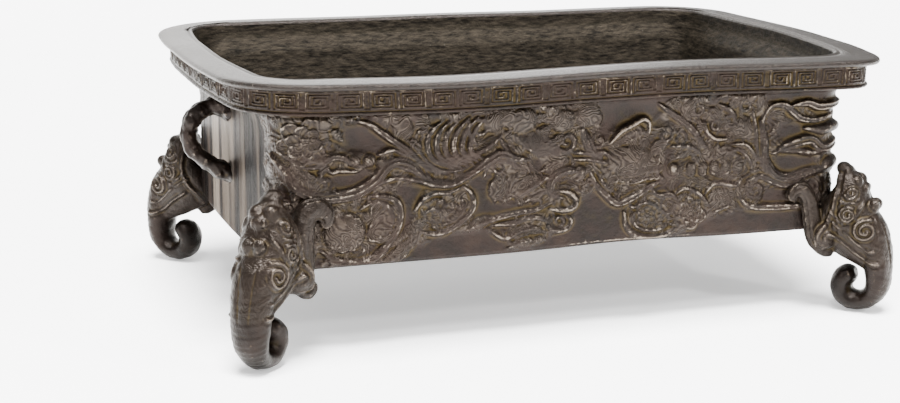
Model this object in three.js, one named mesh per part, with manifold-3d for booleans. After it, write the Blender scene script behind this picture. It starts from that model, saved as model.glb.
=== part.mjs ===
// A cast bronze jardiniere: a rectangular trough with a flat overhanging lip, a fret band under it, carved
// long walls, plain end walls with a branch loop handle each, and four feet formed as elephant heads whose
// curled trunks stand on the ground. Millimetres, +Z up, the long side along X, origin on the ground under
// the middle of the trough. The trough is one casting. The feet and handles are castings of their own.
import * as THREE from "three";
import Module from "manifold-3d";

// Lip and opening. The ends bow outwards in plan, so the lip is longest on the middle line.
const lipHalfLength = 180;
const lipHalfDepth = 124;
const endBow = 9;
const lipWidth = 19;
const lipThickness = 4;
const lipEdgeRound = 1.4;
const lipCornerRadius = { frontRight: 28, backRight: 42, backLeft: 46, frontLeft: 46 };
const openingCornerRadius = 20;

// Fret band under the lip, with a bead along its foot.
const bandInset = 7;
const bandHeight = 13;
const beadHeight = 2.6;
const beadProud = 1.2;

// Walls and floor.
const neckInset = 20;
const wallInset = 26;
const wallCornerRadius = 11;
const wallEndBow = 4;
const wallThickness = 5;
const floorThickness = 5;
const wallHeight = 82;
const coveHeight = 18;

// Feet and handles.
const groundClearance = 46;
const seatGap = 0.3;
const footHeight = 87;
const footReach = 29;
const footStandOff = 6;
const footHalfWidth = 13;
const trunkRadius = 6;
const scrollRadius = 4.6;
const handleReach = 25;
const handleHeight = 42;
const handleCentreHeight = 50;
const handleBarRadius = 3.8;
const reliefHeight = 3.2;

// Levels, from the ground up.
const wallBottom = groundClearance;
const bandBottom = wallBottom + wallHeight;
const lipUnderside = bandBottom + bandHeight;
const lipTop = lipUnderside + lipThickness;

const cornerSteps = 6;
const endSteps = 4;
const bronze = { color: 0x4a3f36, roughness: 0.42, metalness: 0.85 };

const wasm = await Module();
wasm.setup();

// A closed mesh of shared points and triangles as a solid, turned right side out if it needs it.
function solid(points, triangles) {
  let volume = 0;
  for (const [a, b, c] of triangles) {
    volume += points[a].dot(new THREE.Vector3().crossVectors(points[b], points[c]));
  }
  const facing = volume < 0 ? triangles.map(([a, b, c]) => [a, c, b]) : triangles;
  return new wasm.Manifold(
    new wasm.Mesh({
      numProp: 3,
      vertProperties: new Float32Array(points.flatMap((p) => [p.x, p.y, p.z])),
      triVerts: new Uint32Array(facing.flat()),
    }),
  );
}

// The solid between rings that hold equally many points, closed at both ends by a fan to the ring's middle.
function loft(rings) {
  const count = rings[0].length;
  const points = rings.flat();
  const triangles = [];
  for (let r = 0; r + 1 < rings.length; r++) {
    for (let i = 0; i < count; i++) {
      const j = (i + 1) % count;
      const [a, b, c, d] = [r * count + i, r * count + j, (r + 1) * count + j, (r + 1) * count + i];
      triangles.push([a, b, c], [a, c, d]);
    }
  }
  for (const [r, flip] of [[0, true], [rings.length - 1, false]]) {
    const middle = rings[r].reduce((sum, p) => sum.add(p), new THREE.Vector3()).divideScalar(count);
    const apex = points.push(middle) - 1;
    for (let i = 0; i < count; i++) {
      const [a, b] = [r * count + i, r * count + ((i + 1) % count)];
      triangles.push(flip ? [apex, b, a] : [apex, a, b]);
    }
  }
  return solid(points, triangles);
}

// A three.js geometry of merged positions as a solid, for the closed primitives.
function ball(centre, radii, sides = 8, rings = 5) {
  const levels = [];
  for (let r = 1; r < rings; r++) {
    const polar = (Math.PI * r) / rings;
    levels.push(
      Array.from({ length: sides }, (_, i) => {
        const turn = (2 * Math.PI * i) / sides;
        return new THREE.Vector3(
          centre.x + radii.x * Math.sin(polar) * Math.cos(turn),
          centre.y + radii.y * Math.sin(polar) * Math.sin(turn),
          centre.z + radii.z * Math.cos(polar),
        );
      }),
    );
  }
  return loft(levels);
}

const join = (solids) => wasm.Manifold.union(solids);

// Plan of the trough at one level: a rounded rectangle, counter-clockwise from the front right corner, whose
// ends bow outwards by bow * (1 - (y / half depth)^2).
function plan(halfLength, halfDepth, radii, bow, z) {
  const corners = [
    [1, -1, radii.frontRight, -Math.PI / 2],
    [1, 1, radii.backRight, 0],
    [-1, 1, radii.backLeft, Math.PI / 2],
    [-1, -1, radii.frontLeft, Math.PI],
  ];
  const flat = [];
  corners.forEach(([sx, sy, radius, start], k) => {
    for (let i = 0; i <= cornerSteps; i++) {
      const turn = start + ((Math.PI / 2) * i) / cornerSteps;
      flat.push([
        sx * (halfLength - radius) + radius * Math.cos(turn),
        sy * (halfDepth - radius) + radius * Math.sin(turn),
      ]);
    }
    if (k % 2 === 0) {
      const from = halfDepth - radius;
      const to = halfDepth - corners[(k + 1) % 4][2];
      for (let i = 1; i < endSteps; i++) {
        flat.push([sx * halfLength, sy * (from - ((from + to) * i) / endSteps)]);
      }
    }
  });
  return flat.map(([x, y]) => {
    const bulge = Math.sign(x) * bow * (1 - (y / halfDepth) ** 2) * Math.min(1, Math.abs(x) / halfLength) ** 4;
    return new THREE.Vector3(x + bulge, y, z);
  });
}

const evenRadii = (r) => ({ frontRight: r, backRight: r, backLeft: r, frontLeft: r });

// Plan of the lip or band, inset from the lip's outer edge.
function lipPlan(inset, z) {
  const radii = {};
  for (const [corner, radius] of Object.entries(lipCornerRadius)) {
    radii[corner] = Math.max(radius - inset, openingCornerRadius / 2);
  }
  return plan(lipHalfLength - inset, lipHalfDepth - inset, radii, endBow, z);
}

// Half sizes of the wall's outer face. The wall's end bows less than the lip's.
const wallHalfLength = lipHalfLength + endBow - wallInset - wallEndBow;
const wallHalfDepth = lipHalfDepth - wallInset + 2;

// How far the outer wall stands out of its own plane at a level: a cove that flares up to the neck.
const neckFlare = wallInset - neckInset - 2;
function wallFlare(z) {
  const share = THREE.MathUtils.clamp((z - (bandBottom - coveHeight)) / coveHeight, 0, 1);
  return neckFlare * share * share;
}

function wallPlan(out, z) {
  const radius = evenRadii(wallCornerRadius + out);
  return plan(wallHalfLength + out, wallHalfDepth + out, radius, wallEndBow, z);
}

function outerForm() {
  const coveSteps = 3;
  const rings = [wallPlan(0, wallBottom)];
  for (let i = 0; i <= coveSteps; i++) {
    const z = bandBottom - coveHeight + (coveHeight * i) / coveSteps;
    rings.push(wallPlan(wallFlare(z), z));
  }
  rings.push(lipPlan(bandInset - beadProud, bandBottom));
  rings.push(lipPlan(bandInset - beadProud, bandBottom + beadHeight * 0.8));
  rings.push(lipPlan(bandInset, bandBottom + beadHeight));
  rings.push(lipPlan(bandInset, lipUnderside));
  rings.push(lipPlan(lipEdgeRound, lipUnderside));
  rings.push(lipPlan(0, lipUnderside + lipEdgeRound));
  rings.push(lipPlan(0, lipTop - lipEdgeRound));
  rings.push(lipPlan(lipEdgeRound, lipTop));
  return loft(rings);
}

// The hollow inside: straight below the cove, then flaring out to the lip's inner edge.
function hollowForm() {
  const radius = evenRadii(wallCornerRadius - wallThickness + 2);
  const inside = (out, z) =>
    plan(wallHalfLength - wallThickness + out, wallHalfDepth - wallThickness + out, radius, wallEndBow, z);
  const opening = (inset, z) =>
    plan(lipHalfLength - inset, lipHalfDepth - inset, evenRadii(openingCornerRadius), endBow, z);
  return loft([
    inside(0, wallBottom + floorThickness),
    inside(0, bandBottom - coveHeight),
    inside(neckFlare, bandBottom),
    opening(lipWidth, lipTop - lipEdgeRound),
    opening(lipWidth - lipEdgeRound, lipTop),
    opening(lipWidth - lipEdgeRound, lipTop + 1),
  ]);
}

// The long walls' relief is drawn on a grid of 324 by 82 units, with its origin at the middle of the wall's
// foot, and stretched to the wall. A point on the grid goes round the wall's rounded corners, and h is its
// height off the wall.
const gridHalfWidth = 162;
const gridHeight = 82;
function onWall(u, v, h) {
  const along = (Math.abs(u) * wallHalfLength) / gridHalfWidth;
  const z = wallBottom + (v * wallHeight) / gridHeight;
  const out = h + wallFlare(z);
  const straight = wallHalfLength - wallCornerRadius;
  const turn = Math.max(0, along - straight) / wallCornerRadius;
  const x = Math.min(along, straight) + (wallCornerRadius + out) * Math.sin(turn);
  const y = -(wallHalfDepth - wallCornerRadius) - (wallCornerRadius + out) * Math.cos(turn);
  return new THREE.Vector3(Math.sign(u) * x, y, z);
}
const reliefRoot = -1.5;

// A rounded strand along a smooth curve through grid points, tapering to both ends.
function strand(path, halfWidth, height = 1, steps = Math.round(path.length * 1.5)) {
  const curve = new THREE.CatmullRomCurve3(path.map(([u, v]) => new THREE.Vector3(u, v, 0)));
  const rings = [];
  for (let i = 0; i <= steps; i++) {
    const share = i / steps;
    const point = curve.getPoint(share);
    const side = curve.getTangent(share).applyAxisAngle(new THREE.Vector3(0, 0, 1), Math.PI / 2);
    const swell = 0.45 + 0.55 * Math.sin(Math.PI * Math.min(1, share * 1.1 + 0.05));
    const at = (across, h) =>
      onWall(point.x + side.x * across * halfWidth * swell, point.y + side.y * across * halfWidth * swell, h);
    const crest = reliefHeight * height * swell;
    rings.push([at(-1, reliefRoot), at(-0.2, crest), at(1, reliefRoot)]);
  }
  return loft(rings);
}

// A low dome on the wall, longer along its own turned axis.
function boss(u, v, along, across, turnDegrees = 0, height = 1, sides = 6) {
  const turn = THREE.MathUtils.degToRad(turnDegrees);
  const ring = (share, h) =>
    Array.from({ length: sides }, (_, i) => {
      const angle = (2 * Math.PI * i) / sides;
      const [a, b] = [along * share * Math.cos(angle), across * share * Math.sin(angle)];
      return onWall(u + a * Math.cos(turn) - b * Math.sin(turn), v + a * Math.sin(turn) + b * Math.cos(turn), h);
    });
  return loft([ring(1, reliefRoot), ring(0.55, reliefHeight * height)]);
}

// A peony: a raised heart in a ring of petals.
function blossom(u, v, radius, petals) {
  const made = [boss(u, v, radius * 0.5, radius * 0.5, 0, 1.35)];
  for (let i = 0; i < petals; i++) {
    const angle = (360 * i) / petals + 18;
    const [c, s] = [Math.cos(THREE.MathUtils.degToRad(angle)), Math.sin(THREE.MathUtils.degToRad(angle))];
    made.push(boss(u + radius * 0.66 * c, v + radius * 0.66 * s, radius * 0.34, radius * 0.44, angle, 1, 5));
  }
  return made;
}

// A pointed leaf: a ridge with a sharp end at both ends.
function leaf(u0, v0, u1, v1, halfWidth, height = 0.8) {
  const [du, dv] = [u1 - u0, v1 - v0];
  const length = Math.hypot(du, dv);
  const [nu, nv] = [(-dv / length) * halfWidth, (du / length) * halfWidth];
  const at = (share, across, h) => onWall(u0 + du * share + nu * across, v0 + dv * share + nv * across, h);
  const outline = (h, grow) => [
    at(0.5 - 0.5 * grow, 0, h),
    at(0.3, -grow, h),
    at(0.65, -0.8 * grow, h),
    at(0.5 + 0.5 * grow, 0, h),
    at(0.65, 0.8 * grow, h),
    at(0.3, grow, h),
  ];
  return loft([outline(reliefRoot, 1), outline(reliefHeight * height, 0.35)]);
}

// A curl: a strand that winds inwards.
function curl(u, v, radius, startDegrees, turns, halfWidth) {
  const path = [];
  const steps = Math.round(turns * 8);
  for (let i = 0; i <= steps; i++) {
    const share = i / steps;
    const angle = THREE.MathUtils.degToRad(startDegrees) + 2 * Math.PI * turns * share;
    const r = radius * (1 - 0.72 * share);
    path.push([u + r * Math.cos(angle), v + r * Math.sin(angle)]);
  }
  return strand(path, halfWidth, 1, steps);
}

// The front wall: a long-tailed bird among peonies, buds, leaves and drifting cloud scrolls.
function frontRelief() {
  const tail = [
    strand([[-150, 34], [-132, 39], [-116, 40], [-99, 52], [-76, 43], [-60, 44], [-42, 53], [-27, 50]], 3.4),
    strand([[-114, 77], [-100, 67], [-80, 52], [-66, 48], [-46, 60]], 2.4, 0.9),
    strand([[-97, 76], [-84, 60], [-68, 54], [-54, 58]], 2, 0.8),
  ];
  const fan = [];
  for (let i = 0; i < 5; i++) {
    const lean = i - 2;
    fan.push(strand([[-66 + 4 * lean, 57], [-70 + 6 * lean, 67], [-68 + 7 * lean, 77]], 2.1, 0.9, 4));
    fan.push(leaf(-15 + 3 * lean, 50 - lean, -27 + 4.4 * lean, 64 + lean, 2.2, 0.9));
  }
  const clouds = [
    curl(-52, 70, 6, 200, 1, 1.8),
    boss(-41, 73, 9, 5.5, 15),
    boss(-26, 71, 8, 6.5, -10),
    boss(-6, 70, 8, 7.5, 0, 0.8),
    boss(9, 70, 6.5, 7.5, 0, 0.9),
    curl(-4, 57, 6, 180, 1, 1.8),
    strand([[113, 58], [114, 71], [122, 74], [132, 68], [148, 64]], 3.2),
    strand([[160, 60], [140, 54], [124, 49], [117, 40], [122, 32], [138, 32], [158, 38]], 3.2),
    strand([[136, 77], [148, 73], [162, 76]], 3, 1, 4),
    curl(109, 26, 5.5, 90, 1, 1.8),
    strand([[110, 32], [122, 26], [136, 28]], 2.4, 0.9, 4),
    strand([[101, 26], [106, 16], [120, 14], [136, 14]], 2.2, 0.9, 6),
    strand([[108, 77], [107, 62], [109, 48], [104, 32]], 3.4, 1, 6),
  ];
  const bird = [
    boss(34, 46, 16, 8.5, -12, 1.3, 9),
    strand([[20, 60], [30, 66], [40, 69], [43, 60]], 2.2, 1.3, 6),
    leaf(24, 60, 42, 58, 5, 0.7),
    strand([[9, 44], [15, 32], [25, 23], [38, 29], [54, 37]], 2.2, 1),
    strand([[-20, 48], [0, 50], [24, 48]], 2.6, 1, 5),
    boss(58, 42, 5, 4.6, 0, 1.6),
    strand([[2, 44], [-12, 38], [-12, 30], [-3, 25], [-12, 16], [-6, 11]], 2.6),
    boss(-8, 17, 5, 4.5, 0, 0.9),
  ];
  const phoenixHead = [
    boss(95, 62, 12, 8, -10, 1, 8),
    boss(84, 62, 4, 4, 0, 1.5),
    boss(92, 64, 4, 3.6, 0, 1.6),
    strand([[58, 76], [66, 68], [73, 58], [79, 50]], 2.5, 1, 5),
  ];
  for (let i = 0; i < 5; i++) {
    phoenixHead.push(boss(70 + 7 * i, 40, 4, 4.4, 0, 1, 6));
  }
  const flowers = [
    ...blossom(-143, 67, 13, 6),
    boss(-124, 19, 10.5, 10.5, 0, 1.4, 9),
    boss(-106, 24, 12, 7, 75, 1, 8),
    strand([[-112, 37], [-98, 33], [-95, 20], [-104, 8], [-118, 5]], 3.2),
    ...blossom(-77, 26, 9, 5),
    strand([[-66, 37], [-57, 28], [-64, 19], [-84, 12]], 3.4, 1, 7),
    ...blossom(68, 19, 12, 6),
    boss(43, 17, 6.5, 6, 0, 0.8),
    strand([[30, 22], [31, 10], [42, 3], [58, 4]], 3, 1, 6),
    boss(90, 22, 9, 6, 20),
  ];
  const leaves = [
    boss(-121, 57, 3.6, 3.6, 0, 1.2, 6),
    boss(-112, 57, 3.6, 3.6, 0, 1.2, 6),
    leaf(-150, 58, -160, 44, 4),
    leaf(-138, 56, -152, 40, 4.6),
    leaf(-146, 50, -124, 43, 5.5),
    leaf(-106, 2, -84, 19, 4.2),
    leaf(-20, 46, -46, 30, 6.5),
    leaf(-22, 36, -42, 27, 4.5),
    leaf(-10, 25, -60, 15, 4.4),
    leaf(-18, 15, -48, 12, 3.2),
    leaf(-17, 8, -38, 4, 2.6),
    leaf(80, 13, 97, 20, 3.4),
  ];
  return [...tail, ...fan, ...clouds, ...bird, ...phoenixHead, ...flowers, ...leaves];
}

// The back wall, plainer: a peony between two scrolling stems with buds and leaves.
function backRelief() {
  const made = [...blossom(0, 42, 18, 6)];
  for (const side of [-1, 1]) {
    made.push(strand([[18, 42], [40, 58], [66, 42], [92, 26], [122, 44], [146, 62]].map(([u, v]) => [side * u, v]), 3.2));
    made.push(boss(side * 66, 24, 9, 9, 0, 1.2, 8), boss(side * 98, 58, 9, 9, 0, 1.2, 8));
    made.push(leaf(side * 44, 56, side * 70, 72, 5), leaf(side * 30, 36, side * 46, 14, 5));
    made.push(leaf(side * 118, 38, side * 132, 14, 5));
  }
  return made;
}

// Turns a solid half a turn about the vertical through the origin.
const toBack = (form) => form.rotate([0, 0, 180]);

function makeTrough() {
  const relief = join([...frontRelief(), ...backRelief().map(toBack)]);
  return join([outerForm(), relief]).subtract(hollowForm());
}

// A foot is built with its middle plane along +X, which is outwards on the corner's diagonal, from the
// wall's corner at x = 0. Its forms are shares of its own height, reach and half width.
const level = (share) => footHeight * share;
const reach = (share) => footReach * share;

// A tube of oval section along a curve, for the trunk, scrolls and handles. Each ring has its own radius.
function tube(curve, steps, sides, radiusAt, widen = 1) {
  const rings = [];
  for (let i = 0; i <= steps; i++) {
    const share = i / steps;
    const centre = curve.getPoint(share);
    const tangent = curve.getTangent(share);
    const across = new THREE.Vector3(0, 1, 0).applyAxisAngle(new THREE.Vector3(0, 0, 1), curve.heading ?? 0);
    const out = new THREE.Vector3().crossVectors(tangent, across).normalize();
    const radius = radiusAt(share);
    rings.push(
      Array.from({ length: sides }, (_, k) => {
        const turn = (2 * Math.PI * (k + 0.5)) / sides;
        return centre
          .clone()
          .addScaledVector(out, radius * Math.cos(turn))
          .addScaledVector(across, radius * widen * Math.sin(turn));
      }),
    );
  }
  return loft(rings);
}

// The trunk: down the front of the face, round under the foot and up into a ball-tipped curl.
function trunk() {
  const curve = new THREE.CatmullRomCurve3(
    [
      [0.42, 0.66],
      [0.72, 0.5],
      [0.8, 0.28],
      [0.72, 0.13],
      [0.45, 0.055],
      [0.13, 0.09],
      [0.03, 0.19],
      [0.19, 0.245],
    ].map(([x, z]) => new THREE.Vector3(reach(x), 0, level(z))),
  );
  return tube(curve, 13, 8, (s) => trunkRadius * (1.35 - 0.4 * Math.min(1, s * 1.7)), 1.25);
}

// The head: oval rings from the jaw up to the crown, each given as height, back, front and half width.
function head() {
  const sides = 8;
  const rings = [
    [0.3, 0.2, 0.86, 0.5],
    [0.38, -0.45, 0.98, 0.74],
    [0.5, -0.55, 0.93, 0.95],
    [0.64, -0.55, 0.72, 1.05],
    [0.78, -0.5, 0.5, 0.85],
    [0.9, -0.4, 0.22, 0.5],
  ].map(([z, back, front, half]) =>
    Array.from({ length: sides }, (_, i) => {
      const turn = (2 * Math.PI * (i + 0.5)) / sides;
      return new THREE.Vector3(
        reach((back + front) / 2 + ((front - back) / 2) * Math.cos(turn)),
        footHalfWidth * half * Math.sin(turn),
        level(z),
      );
    }),
  );
  return loft(rings);
}

// Crown knob, brows and the double nub over the trunk.
function features() {
  const at = (x, y, z) => new THREE.Vector3(reach(x), footHalfWidth * y, level(z));
  const knob = (x, y, z, ...size) => ball(at(x, y, z), at(...size), 6, 4);
  const made = [knob(-0.05, 0, 0.94, 0.16, 0.42, 0.06)];
  for (const side of [-1, 1]) {
    made.push(knob(0.24, side * 0.38, 0.85, 0.2, 0.36, 0.07));
    made.push(knob(0.64, side * 0.3, 0.69, 0.14, 0.36, 0.06));
    made.push(knob(0.5, side * 0.8, 0.62, 0.22, 0.26, 0.08));
  }
  return made;
}

// A side scroll: an S-shaped bracket that lies along the long wall, with a curl at its top and at its foot.
function sideScroll(side) {
  const heading = (side * Math.PI * 3) / 4;
  const along = new THREE.Vector3(Math.cos(heading), Math.sin(heading), 0);
  const off = new THREE.Vector3(Math.cos(heading - (side * Math.PI) / 2), Math.sin(heading - (side * Math.PI) / 2), 0);
  const curve = new THREE.CatmullRomCurve3(
    [
      [1.03, 0.77],
      [0.93, 0.86],
      [0.72, 0.84],
      [0.6, 0.7],
      [0.5, 0.55],
      [0.36, 0.43],
      [0.05, 0.385],
    ].map(([s, z]) =>
      new THREE.Vector3(0, 0, level(z)).addScaledVector(along, reach(s)).addScaledVector(off, scrollRadius * 0.5),
    ),
  );
  curve.heading = heading - (side * Math.PI) / 2 - Math.PI / 2;
  const swell = (s) => scrollRadius * (0.85 + 0.25 * Math.sin(Math.PI * s));
  return tube(curve, 10, 6, swell, 1.05);
}

function makeFoot(sx, sy, trough) {
  const mask = join([trunk(), head(), ...features()]).translate([footStandOff, 0, 0]);
  const whole = mask.add(sideScroll(sx * sy));
  const corner = [sx * wallHalfLength, sy * wallHalfDepth, 0];
  const diagonal = Math.atan2(sy, sx);
  const ground = loft([
    plan(2 * lipHalfLength, 2 * lipHalfDepth, evenRadii(1), 0, -footHeight),
    plan(2 * lipHalfLength, 2 * lipHalfDepth, evenRadii(1), 0, 0),
  ]);
  const underTrough = loft([wallPlan(-wallThickness, wallBottom - seatGap), wallPlan(-wallThickness, bandBottom)]);
  const seated = whole
    .rotate([0, 0, THREE.MathUtils.radToDeg(diagonal)])
    .translate(corner)
    .subtract(trough)
    .subtract(underTrough)
    .subtract(loft([wallPlan(0, wallBottom - seatGap), wallPlan(0, bandBottom)]))
    .subtract(ground);
  const largest = seated.decompose().reduce((a, b) => (a.volume() > b.volume() ? a : b));
  return largest.translate([sx * seatGap, sy * seatGap, 0]);
}

// A loop handle on an end wall: a bar that leaves the wall under the neck, swings out and returns lower down.
function makeHandle(side, trough) {
  const root = wallHalfLength + wallEndBow;
  const middle = wallBottom + handleCentreHeight;
  const curve = new THREE.CatmullRomCurve3(
    [
      [-0.2, 0.38],
      [0.2, 0.49],
      [0.6, 0.46],
      [0.86, 0.2],
      [0.82, -0.1],
      [0.52, -0.33],
      [0.2, -0.46],
      [-0.2, -0.52],
    ].map(([out, up]) => new THREE.Vector3(root + handleReach * out, 0, middle + handleHeight * up)),
  );
  const bar = tube(curve, 14, 7, (s) => handleBarRadius * (1.25 - 0.3 * Math.sin(Math.PI * s)), 1.1);
  const placed = side > 0 ? bar : bar.rotate([0, 0, 180]);
  const cut = placed.subtract(trough).subtract(loft([wallPlan(-wallThickness, wallBottom), wallPlan(0, bandBottom)]));
  const largest = cut.decompose().reduce((a, b) => (a.volume() > b.volume() ? a : b));
  return largest.translate([side * seatGap, 0, 0]);
}

function mesh(name, form) {
  const { numProp, vertProperties, triVerts } = form.getMesh();
  const positions = new Float32Array((vertProperties.length / numProp) * 3);
  for (let i = 0; i < positions.length; i++) {
    positions[i] = vertProperties[Math.floor(i / 3) * numProp + (i % 3)];
  }
  const geometry = new THREE.BufferGeometry();
  geometry.setAttribute("position", new THREE.BufferAttribute(positions, 3));
  geometry.setIndex(new THREE.BufferAttribute(new Uint32Array(triVerts), 1));
  geometry.computeVertexNormals();
  const made = new THREE.Mesh(geometry, new THREE.MeshStandardMaterial(bronze));
  made.name = name;
  return made;
}

const jardiniere = new THREE.Group();
const trough = makeTrough();
jardiniere.add(mesh("trough", trough));
for (const [name, sx, sy] of [
  ["foot_front_left", -1, -1],
  ["foot_front_right", 1, -1],
  ["foot_back_left", -1, 1],
  ["foot_back_right", 1, 1],
]) {
  jardiniere.add(mesh(name, makeFoot(sx, sy, trough)));
}
jardiniere.add(mesh("handle_left", makeHandle(-1, trough)));
jardiniere.add(mesh("handle_right", makeHandle(1, trough)));

export default jardiniere;
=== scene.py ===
"""A cast bronze jardiniere on elephant-mask feet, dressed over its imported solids, in millimetres."""
import math
import bmesh
import bpy
import numpy as np
from mathutils import Matrix, Vector


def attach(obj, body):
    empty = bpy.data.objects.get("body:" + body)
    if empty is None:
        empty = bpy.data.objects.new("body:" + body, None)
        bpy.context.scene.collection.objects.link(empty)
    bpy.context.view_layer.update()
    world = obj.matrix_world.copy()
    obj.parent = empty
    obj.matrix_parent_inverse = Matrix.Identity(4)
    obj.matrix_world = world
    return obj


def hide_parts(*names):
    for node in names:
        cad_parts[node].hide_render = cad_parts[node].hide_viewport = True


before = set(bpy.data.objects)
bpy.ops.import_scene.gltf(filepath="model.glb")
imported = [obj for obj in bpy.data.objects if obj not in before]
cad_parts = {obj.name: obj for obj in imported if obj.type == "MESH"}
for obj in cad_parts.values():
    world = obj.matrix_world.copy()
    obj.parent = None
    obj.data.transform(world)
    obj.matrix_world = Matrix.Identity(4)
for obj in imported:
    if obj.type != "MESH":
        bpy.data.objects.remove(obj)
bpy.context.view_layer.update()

# Sizes shared with the solids.
LIP = (180.0, 124.0)
LIP_RADII = (28.0, 42.0, 46.0, 46.0)
END_BOW = 9.0
LIP_TOP = 145.0
LIP_UNDER = 141.0
BAND_INSET = 7.0
BAND_FOOT = 128.0
WALL = (159.0, 100.0)
WALL_FOOT = 46.0
WALL_RADIUS = 11.0
WALL_BOW = 4.0
WALL_THICK = 5.0
INNER_RADIUS = 8.0
OPENING_RADIUS = 20.0
OPENING_SHIFT = 4.0
FLOOR = 51.0
COVE = 18.0
NECK_FLARE = 4.0
STAND_OFF = 6.0

# Sizes of the mesh: the relief's steps and the voxels, in millimetres and in metres.
FRONT_STEP = 0.56
BACK_STEP = 1.1
VOXEL = 0.00057
DIAGONAL = math.sqrt(0.5)


# Numbers

def waves(x, y, z, length, seed):
    """Smooth wander between about -1 and 1: the mean of sine waves in seeded directions."""
    rng = np.random.default_rng(seed)
    total = np.zeros(np.broadcast(x, y, z).shape)
    for _ in range(9):
        way = rng.normal(size=3)
        way *= 2 * np.pi / (length * rng.uniform(0.7, 1.5) * np.linalg.norm(way))
        total += np.sin(way[0] * x + way[1] * y + way[2] * z + rng.uniform(0, 2 * np.pi))
    return total / 4.0


def flat_waves(x, y, length, seed):
    return waves(x, y, 0 * x, length, seed)


def smoothstep(low, high, x):
    """0 below low, 1 above high and an S-shaped rise between."""
    t = np.clip((x - low) / (high - low), 0, 1)
    return t * t * (3 - 2 * t)


def spline(points, step=0.7):
    """Points about one step apart along the smooth curve that passes through the given points."""
    p = np.asarray(points, float)
    ends = np.vstack([2 * p[0] - p[1], p, 2 * p[-1] - p[-2]])
    out = []
    for a, b, c, d in zip(ends[:-3], ends[1:-2], ends[2:-1], ends[3:]):
        count = max(2, int(np.linalg.norm(c - b) / step))
        t = np.linspace(0, 1, count, endpoint=False)[:, None]
        square, cube = 2 * a - 5 * b + 4 * c - d, 3 * b - a - 3 * c + d
        out.append(0.5 * (2 * b + (c - a) * t + square * t**2 + cube * t**3))
    return np.vstack(out + [p[-1:]])


def spiral(u, v, radius, start, turns, shrink=0.75):
    """Points that wind inwards round (u, v); negative turns wind clockwise."""
    t = np.linspace(0, 1, max(6, int(abs(turns) * 10)))
    angle = np.radians(start) + 2 * np.pi * turns * t
    r = radius * (1 - shrink * t)
    return np.c_[u + r * np.cos(angle), v + r * np.sin(angle)]


# Meshes

def make_mesh(name, points_mm, faces, smooth=True):
    """A mesh piece from points in millimetres and a list or array of faces."""
    mesh = bpy.data.meshes.new(name)
    mesh.from_pydata((np.asarray(points_mm) * 0.001).tolist(), [], [list(map(int, f)) for f in faces])
    mesh.validate()
    mesh.polygons.foreach_set("use_smooth", np.full(len(mesh.polygons), smooth))
    obj = bpy.data.objects.new(name, mesh)
    bpy.context.scene.collection.objects.link(obj)
    return obj


def grid_faces(rows, cols, wrap=False):
    """Four-sided faces between the neighbouring points of a grid."""
    r = np.arange(rows - 1)[:, None]
    c = np.arange(cols if wrap else cols - 1)[None]
    n = (c + 1) % cols
    a, b = r * cols + c, r * cols + n
    d, e = (r + 1) * cols + n, (r + 1) * cols + c
    return np.stack([a + 0 * b, b + 0 * a, d, e], -1).reshape(-1, 4)


def loft(rings):
    """Points and faces of the closed skin over rings of equally many points, each end a fan to its middle."""
    rings = np.asarray(rings, float)
    rows, cols = rings.shape[:2]
    points = rings.reshape(-1, 3)
    faces = grid_faces(rows, cols, True).tolist()
    points = np.vstack([points, rings[0].mean(0), rings[-1].mean(0)])
    for i in range(cols):
        j = (i + 1) % cols
        faces.append([rows * cols, j, i])
        faces.append([rows * cols + 1, (rows - 1) * cols + i, (rows - 1) * cols + j])
    return points, faces


def joined(parts):
    """One list of points and faces from many."""
    points, faces, start = [], [], 0
    for p, f in parts:
        points.append(p)
        faces += [[i + start for i in face] for face in f]
        start += len(p)
    return np.vstack(points), faces


def tube(path, radii, sides=18, widen=1.0, across=(0, 1, 0)):
    """A closed tube along a path, with a radius at each point and a widened side-to-side axis."""
    path = np.asarray(path, float)
    radii = np.broadcast_to(np.asarray(radii, float), len(path))
    way = np.gradient(path, axis=0)
    way /= np.linalg.norm(way, axis=1)[:, None] + 1e-9
    side = np.broadcast_to(np.asarray(across, float), path.shape)
    side = side - way * (side * way).sum(1)[:, None]
    side /= np.linalg.norm(side, axis=1)[:, None] + 1e-9
    out = np.cross(way, side)
    turn = 2 * np.pi * np.arange(sides) / sides
    rings = (path[:, None] + radii[:, None, None] * (out[:, None] * np.cos(turn)[None, :, None]
             + side[:, None] * widen * np.sin(turn)[None, :, None]))
    first = path[:1, None] - way[:1, None] * radii[0] * 0.5 + (rings[:1] - path[:1, None]) * 0.55
    last = path[-1:, None] + way[-1:, None] * radii[-1] * 0.5 + (rings[-1:] - path[-1:, None]) * 0.55
    return loft(np.concatenate([first, rings, last]))


def ellipsoid(centre, radii, sides=20, rows=11):
    """A closed ellipsoid."""
    polar = np.pi * np.arange(1, rows) / rows
    turn = 2 * np.pi * np.arange(sides) / sides
    ball = np.stack([np.sin(polar)[:, None] * np.cos(turn), np.sin(polar)[:, None] * np.sin(turn),
                     np.cos(polar)[:, None] + 0 * turn], -1)
    return loft(np.asarray(centre) + ball * np.asarray(radii))


def outward(obj):
    """Turns every face of a piece outwards."""
    bm = bmesh.new()
    bm.from_mesh(obj.data)
    bmesh.ops.recalc_face_normals(bm, faces=bm.faces)
    bm.to_mesh(obj.data)
    bm.free()


def read_array(items, key, width, kind=float):
    """One property of a mesh's points, edges or faces, with a row for each of them."""
    flat = np.empty(len(items) * width, kind)
    items.foreach_get(key, flat)
    return flat.reshape(-1, width)


def read_points(mesh):
    return read_array(mesh.vertices, "co", 3) * 1000


def write_points(mesh, points):
    mesh.vertices.foreach_set("co", (points * 0.001).ravel())
    mesh.update()


def read_normals(mesh):
    return read_array(mesh.vertex_normals, "vector", 3)


def store(obj, name, values):
    """Keeps one value for each point of a piece as an attribute."""
    obj.data.attributes.new(name, "FLOAT", "POINT").data.foreach_set("value", values)


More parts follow.
